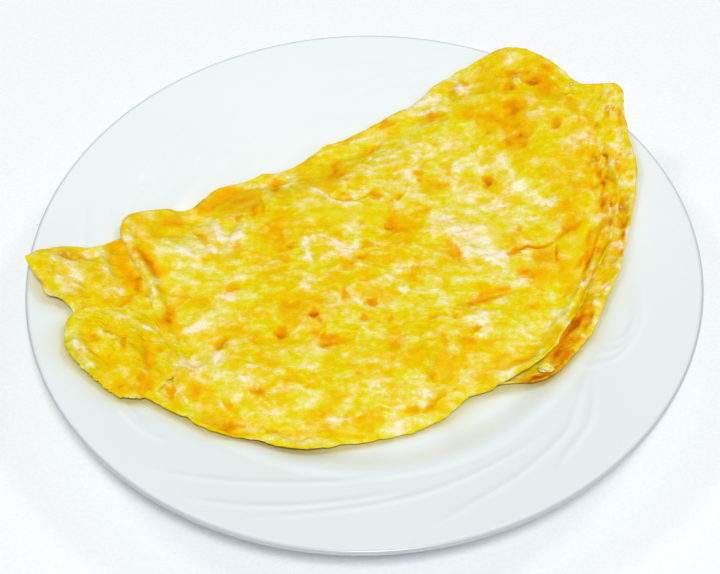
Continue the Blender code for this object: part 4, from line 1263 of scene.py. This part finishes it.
def torn_grain(points, band):
    """Brown and pale specks where the layers' torn edge shows, in a band."""
    dark = ease(lumps(points, 1.6, 67, 1.5, 80.0), 0.15, 0.7) * band
    light = ease(lumps(points, 1.8, 68, 1.5, 80.0), 0.2, 0.8) * band
    return dark, light


def rolled_rim(points, inward):
    """A soft roll along the lower and left edges, with a shallow groove inside it."""
    side = 1.0 - ease(points[:, 0] + points[:, 1], 8.0, 40.0)
    waver = inward + 0.9 * lumps(points, 8.0, 64)
    roll = np.exp(-((waver - 2.6) / 1.4) ** 2) * side
    groove = np.exp(-((waver - 5.6) / 1.3) ** 2) * side
    return roll, groove


def upper_surface(points, inward):
    """Relief of the upper leaf, and the four numbers that its colour goes by."""
    calm = np.clip(add_forms(points, SMOOTH), 0.0, 0.95)
    relief, brown, pale, pits = sheet_marks(
        points, UPPER_SPOTS, UPPER_FORMS, CRESTS, CREASES, BROWNED_AND_SHADOW_PATCHES, PALE, 41, 71, calm)
    laps, foot = lap_steps(points, LAPS)
    curdled = curd(points, 100) * (1.0 - calm)
    drop, line = layered_edge(points, inward)
    roll, groove = rolled_rim(points, inward)
    relief += 0.40 * curdled + laps + 0.35 * lumps(points, 14.0, 110)
    relief += 0.35 * roll - 0.4 * groove - drop
    # Browner at pits, at each layer step, at the lap feet and in the groove: painted shade in these
    # hollows, with browning too at pits and torn steps
    brown += 0.10 * lumps(points, 11.0, 73) + 0.25 * pits + 0.6 * line + 0.12 * foot + 0.25 * groove
    pale += 0.12 * lumps(points, 16.0, 76) + add_forms(points, TONES) + 0.25 * roll
    torn = ease(points[:, 0], 58.0, 80.0) * (1.0 - ease(points[:, 1], 56.0, 74.0))
    dark, light = torn_grain(points, torn * (1.0 - ease(inward, 3.0, 10.0)))
    brown += 0.4 * dark
    pale += 0.6 * light
    relief += 0.25 * light - 0.3 * dark
    return relief, brown, pale, curdled, calm


def make_leaf(name, outline, middle, edge_width, rings, under_rings,
              drape, thick, edge_thick, surface, seed):
    """A whole leaf: pressed, draped, given its relief and colour numbers, and finished."""
    item, points, on_top = press_ball(name, outline, middle, edge_width, rings, under_rings)
    inward = np.maximum(distance_inside(points, outline[::2]), 0.0)
    relief, brown, pale, curdled, calm = surface(points, inward)
    lay_leaf(item, points, on_top, inward, drape(points), thick, edge_thick(points),
             edge_width, relief, seed)
    store(item, "brown", np.where(on_top, brown, UNDERSIDE_BROWN))
    store(item, "pale", np.where(on_top, pale, 0.0))
    store(item, "curdled", curdled)
    store(item, "calm", calm)
    finish_leaf(item)
    return item


def upper_edge_thickness(points):
    """Thin where the egg ran out in the pan, thicker where it is rolled on the left."""
    rolled = (1.0 - ease(points[:, 0], -72.0, -58.0)) * ease(points[:, 1], -26.0, -12.0)
    return UPPER_EDGE_THICK + ROLL_THICK * rolled


def lower_edge_thickness(points):
    return np.full(len(points), LOWER_EDGE_THICK)


upper_frill = frilled(UPPER_OUTLINE, LEAF_SEGMENTS, 0.34, 3)
make_leaf("upper_leaf", upper_frill, UPPER_MIDDLE, UPPER_EDGE, LEAF_RINGS, UNDER_RINGS,
          upper_base, UPPER_THICK, upper_edge_thickness, upper_surface, 100)

# %% [markdown]
# ## The lower leaf
#
# The half that lies on the plate shows as the tip on the left, as a thin brown-edged layer
# along the right side, and under the fold.

# %% Lower leaf
LOWER_EDGE = 2.6
LOWER_EDGE_THICK = 1.9
LOWER_RINGS = 120
LOWER_FORMS = (
    (-101, 2, 13, 6, 15, 0.9), (-86, 4, 15, 4, -72, -1.8), (-104, -10, 8, 5, -40, 1.2),
    (-88, 3, 7, 1.6, -60, 1.0), (-98, -7, 6, 2, -20, 0.8), (-95, -19, 4, 1.6, -50, -0.9),
    (-100, 7, 8, 2.5, 10, -0.8), (-84, -10, 7, 2, 60, -0.8),
)
LOWER_SPOTS = [(-104, -2, 2.2, 0.7), (-100, 6, 2.4, 0.8), (-93, 8, 1.8, 0.6), (-107, 4, 1.6, 0.5)]
# Among these, the thin patches along the slit under the upper leaf, from (74, -18.5) to (56, -42.2),
# are painted shadow, and (-65, -48) paints shadow in the gap by the flap
LOWER_BROWNED_AND_SHADOW = (
    (-101.5, 5, 3.6, 1.7, 95, 0.65), (-98.5, 7.5, 2, 2, 0, 0.6), (-109, -2, 2, 1.6, 0, 0.6),
    (-107, -3, 3, 1.4, -30, 0.5), (-93.5, -14.5, 2.5, 1.6, 80, 0.95),
    (-95.5, -18.5, 4, 1.6, 60, 0.65), (-86, 14, 6, 3, 100, 0.6), (-83, 6, 6, 3, 110, 0.65),
    (-79, -2, 4, 2.8, 100, 1.05), (-78, -5, 3, 1.8, 80, 1.05), (-81, -12, 6, 1.5, 68, 0.85),
    (-85, -15, 4, 3, 0, 0.45), (-90, 4, 3, 3, 0, 0.2), (-65, -48, 5, 2.6, 110, 1.0),
    (91, 26, 7, 2, 82, 0.85), (92, 41, 3, 1.6, 90, 0.7), (74, -18.5, 3.6, 1.7, 35, 1.1),
    (70.5, -22, 3.4, 1.5, 50, 1.3), (66.5, -30, 4.4, 1.6, 62, 1.1), (66, -37, 5, 3, 60, 0.6),
    (73, -27, 5, 3, 50, 0.4), (61, -41.5, 5, 1.5, 15, 1.1), (56, -42.2, 2.6, 1.4, 5, 1.4),
    (91, 66, 6, 3, 95, 0.45),
)
LOWER_PALE = (
    (-87.5, 4, 3.8, 2.8, 100, 1.0), (-89, 10, 4, 1.2, 100, 0.6), (-98, -8, 4, 1.4, -5, 1.05),
    (-95, -4, 2, 1.4, 0, 0.5), (-82, -6.5, 2, 1.2, 90, 0.85), (-78, -11, 1.7, 1, 0, 0.6),
    (-93, 14, 4, 1, 30, 0.4), (-77, -18, 2, 1.6, 90, 0.75), (-104, -4, 3, 1.4, -20, 0.4),
    (93, 53, 3, 2, 90, 0.65), (93.5, 48, 1.7, 1.5, 0, 1.05), (95.3, 36, 8, 1, 88, 0.7),
    (86, -3, 6, 1.7, 68, 0.75), (83, -9, 3, 2, 60, 0.65), (72, -33, 5, 1.6, 58, 0.6),
    (77, -24, 4, 1.6, 60, 0.5), (79, -15, 3, 1.6, 60, 0.5), (92, 8, 8, 1.4, 72, 0.5),
)
LOWER_CRESTS = (
    (((-91.5, 12), (-89.3, 8), (-88, 3), (-88.6, -1)), 1.3, 0.7, 0.95),
    (((-102, -9.6), (-98.5, -8), (-95.5, -7.2)), 1.2, 0.6, 0.95),
    (((-111.5, 0.5), (-107, 3.5), (-100, 8.5), (-93, 12.5)), 1.0, 0.5, 0.5),
    (((94.4, 8), (95.6, 20), (96.2, 34)), 0.8, 0.4, 0.7),
)
# The first crease is the dark slit under the upper leaf's edge: its brownness is painted shadow
LOWER_CREASES = (
    (((75, -14), (71.5, -20.5), (68, -25.5), (65, -31), (60, -39.5)), 1.5, 0.5, 1.5),
    (((76.5, -18), (74, -25), (70, -32)), 2.4, 0.2, 0.4),
    (((62, -41.5), (57, -42.8), (50, -43)), 1.5, 0.3, 1.3),
    (((-85, 19), (-84, 12), (-83, 6), (-80.5, 0.5), (-77, -3)), 3.0, 1.0, 0.85),
    (((-79, 0), (-77, -2.8), (-78, -5.5)), 1.8, 0.4, 1.15),
    (((-78.5, -7), (-82, -11.5), (-87, -15.5)), 1.7, 0.8, 0.75),
    (((-93.3, -12), (-94.8, -16.5), (-96.3, -20)), 1.3, 1.0, 1.05),
    (((-113.4, -3.6), (-110.5, -6.4), (-107.6, -8.8)), 1.2, 0.3, 0.95),
    (((-106, 5.5), (-101.5, 5.6), (-97.5, 7.5)), 1.6, 0.5, 0.6),
    (((89.5, 4), (90.8, 16), (91.6, 30)), 1.2, 0.6, 0.8),
)
LOWER_TONES = (
    (-99, 2, 12, 10, 0, 0.4), (-84, 10, 5, 12, -20, -0.5), (-79, -4, 5, 6, 0, -0.4),
    (92, 20, 3, 24, 0, 0.2),
)
LOWER_SPOTS += scattered_blisters(LOWER_CURVE, 420, 6)


def lower_surface(points, inward):
    """Relief and colour numbers of the lower leaf, which is plain where the upper one hides it."""
    shown = 1.0 - ease(distance_inside(points, UPPER_CURVE), 0.0, 6.0)
    relief, brown, pale, pits = sheet_marks(
        points, LOWER_SPOTS, LOWER_FORMS, LOWER_CRESTS, LOWER_CREASES,
        LOWER_BROWNED_AND_SHADOW, LOWER_PALE, 241, 81)
    curdled = curd(points, 200)
    sponge = ease(points[:, 0], 50.0, 70.0)
    relief += 0.45 * curdled + 0.3 * lumps(points, 14.0, 210)
    relief += sponge * (0.35 * lumps(points, 2.2, 211) - 0.5 * np.exp(-((inward - 3.2) / 0.8) ** 2))
    dark, light = torn_grain(points, sponge)
    relief = relief * shown - 0.4 * (1.0 - shown) + 0.2 * light - 0.25 * dark
    # Browner in pits: browning plus painted shade in the hollow
    brown += 0.12 * lumps(points, 9.0, 83) + 0.3 * pits + 0.4 * dark
    pale += add_forms(points, LOWER_TONES) + 0.5 * light
    return relief, brown, pale, curdled, np.zeros(len(points))


lower_frill = frilled(LOWER_OUTLINE, LEAF_SEGMENTS, 0.32, 4)
lower_leaf = make_leaf("lower_leaf", lower_frill, LOWER_MIDDLE, LOWER_EDGE, LOWER_RINGS, UNDER_RINGS,
                       lower_base, LOWER_THICK, lower_edge_thickness, lower_surface, 200)

# %% [markdown]
# ## The side flap
#
# A corner of the sheet that stayed outside the fold lies over the tip's lower side.

# %% Side flap
FLAP_EDGE = 2.4
FLAP_SEGMENTS = 320
FLAP_RINGS = 84
FLAP_UNDER_RINGS = 12
FLAP_FORMS = (
    (-93, -34, 15, 3.5, -62, 1.4), (-80, -30, 12, 8, -40, -1.2), (-70, -42, 9, 3, 60, 1.2),
    (-82, -32, 10, 2.0, -20, 0.8), (-87, -27, 8, 1.8, -35, 0.7), (-72, -34, 3, 8, 10, -0.8),
    (-80, -42, 12, 2.0, 10, 0.6),
)
FLAP_SPOTS = [(-76, -32, 2.2, 0.7), (-90, -34, 1.8, 0.6), (-84, -38, 2.0, 0.6), (-70, -27, 1.8, 0.6)]
FLAP_BROWNED = (
    (-90, -29, 2, 2, 0, 0.75), (-85, -25, 2, 2, 0, 0.5), (-80, -31, 3.6, 1.2, 95, 0.85),
    (-72, -34, 7, 2.2, 94, 0.85), (-75, -31, 3, 2, 0, 0.4), (-68, -32, 4, 3, 0, 0.5),
    (-64, -33, 2, 2, 0, 0.5), (-80, -48, 4, 3, 0, 0.6), (-74, -46, 5, 4, 0, 0.5),
    (-91, -36, 4, 2.4, 30, 0.5), (-87, -37, 3, 2, 0, 0.5), (-84, -17, 4, 1.6, 20, 0.5),
)
FLAP_PALE = (
    (-95.7, -31, 6, 1.4, 100, 0.95), (-93, -37, 3.4, 1.6, -45, 1.05), (-90, -41, 3, 1, -45, 0.75),
    (-86, -27, 5, 1, -50, 0.75), (-81.5, -32.5, 2, 1.4, 90, 0.95), (-73, -21, 3, 1, -40, 0.65),
    (-66, -26, 1.7, 1.6, 0, 0.75), (-91, -17, 4, 1, -30, 0.65), (-77, -50.5, 3, 1, 20, 0.6),
    (-76, -38, 2, 2, 0, 0.4), (-66.5, -46.5, 4, 0.8, 60, 0.6),
)
FLAP_CRESTS = (
    (((-96.2, -25), (-95.6, -32), (-93.4, -37), (-90, -41.2), (-85.5, -44.5)), 1.4, 1.1, 1.2),
    (((-90.5, -21.5), (-87.2, -27), (-84.3, -31.5)), 0.9, 0.3, 0.9),
    (((-81.6, -29.5), (-81.3, -34.5)), 1.3, 0.3, 1.0),
    (((-73, -51), (-68.5, -48), (-65.8, -44.5), (-64.2, -40.5)), 1.0, 0.5, 0.5),
    (((-76.5, -20), (-72.5, -21.5), (-69, -24.5)), 0.9, 0.4, 0.7),
)
FLAP_CREASES = (
    (((-79.8, -26), (-80.2, -31), (-79.5, -35.5)), 1.1, 0.6, 0.8),
    (((-73.6, -26), (-72.4, -31), (-72, -36), (-71, -43)), 1.8, 1.0, 0.95),
    (((-92, -24.5), (-91.5, -31), (-88.5, -36.5), (-83.5, -40)), 1.8, 0.5, 0.6),
)
FLAP_TONES = (
    (-79, -35, 15, 12, 0, -0.5), (-84, -40, 8, 5, -20, -0.3),
)
FLAP_CURVE = smooth_curve(FLAP_OUTLINE, 90, closed=True)
FLAP_SPOTS += scattered_blisters(FLAP_CURVE, 60, 8)


def flap_surface(points, inward):
    relief, brown, pale, pits = sheet_marks(
        points, FLAP_SPOTS, FLAP_FORMS, FLAP_CRESTS, FLAP_CREASES, FLAP_BROWNED, FLAP_PALE, 341, 91)
    curdled = 0.7 * curd(points, 300)
    relief += 0.4 * curdled + 0.3 * lumps(points, 12.0, 310)
    # Browner in pits: browning plus painted shade in the hollow
    brown += 0.12 * lumps(points, 9.0, 93) + 0.3 * pits
    pale += add_forms(points, FLAP_TONES)
    return relief, brown, pale, curdled, np.zeros(len(points))


flap_frill = frilled(FLAP_OUTLINE, FLAP_SEGMENTS, 0.30, 7)
make_leaf("side_flap", flap_frill, FLAP_MIDDLE, FLAP_EDGE, FLAP_RINGS, FLAP_UNDER_RINGS,
          flap_base, FLAP_THICK, lower_edge_thickness, flap_surface, 300)

# %% [markdown]
# ## A loose crumb
#
# One curd broke off at the open edge and lies there by itself.  It is a small ball, pushed
# out of round by the same noise as the leaves.

# %% Crumb
CRUMB_PLACE = (59.2, -40.4)
CRUMB_SIZE = (2.5, 1.9, 1.6)


def egg_crumb():
    """A curd that rests on the lower leaf, sunk in a little."""
    ground = read_places(lower_leaf) / MM
    close = np.hypot(ground[:, 0] - CRUMB_PLACE[0], ground[:, 1] - CRUMB_PLACE[1]) < 1.5
    height = ground[close, 2].max() + 0.7 * CRUMB_SIZE[2]
    deselect_all()
    bpy.ops.mesh.primitive_ico_sphere_add(subdivisions=5, radius=MM)
    item = bpy.context.object
    item.name = "egg_crumb"
    ball = read_places(item) / MM
    swell = 1.0 + 0.16 * lumps(ball[:, :2] + 0.7 * ball[:, 2:], 0.7, 401)
    swell += 0.08 * lumps(ball[:, :2] - ball[:, 2:], 0.3, 402)
    places = ball * np.array(CRUMB_SIZE) * swell[:, None] + (CRUMB_PLACE[0], CRUMB_PLACE[1], height)
    move_vertices(item, places * MM)
    store(item, "brown", 0.3 * (ball[:, 2] < -0.2))
    store(item, "pale", 0.75 + 0.3 * ball[:, 2])
    store(item, "curdled", swell - 1.0)
    store(item, "calm", np.zeros(len(ball)))
    finish_leaf(item)


egg_crumb()

# %% [markdown]
# ## Butter and painted shade on the plate
#
# A little butter ran out from under the egg and colours the glaze beside it.  The same tint
# also paints the egg's shadow and yellow reflection on the glaze, so it is darker and
# stronger in front.  The tint is one more number on the plate's vertices: strong at the
# egg's edge, gone a few millimetres away.

# %% Butter film and painted shade
def tint_butter_and_painted_shade(item):
    """Store where the glaze is tinted by butter and painted shade beside the egg, and where painted
    shade greys its very edge.
    """
    places = read_places(item)[:, :2] / MM
    away = np.full(len(places), 99.0)
    for curve in (LOWER_CURVE, UPPER_CURVE, FLAP_CURVE):
        away = np.minimum(away, -distance_inside(places, curve[::2]))
    spread = 2.8 + 1.2 * lumps(places, 16.0, 501)
    # Stronger in front of the egg, where its shadow falls: painted shade
    front = 0.35 + 0.65 * (1.0 - ease(places[:, 1], -30.0, 10.0))
    store(item, "buttered", 0.8 * front * np.exp(-np.maximum(away, 0.0) / spread))
    # Painted shade on the rounded lip, greyer towards the outer edge
    store(item, "thin_glaze", ease(np.hypot(*places.T), RIM_RADIUS - ROUNDING, RIM_RADIUS - 0.4))


tint_butter_and_painted_shade(plate)
print("butter film laid")
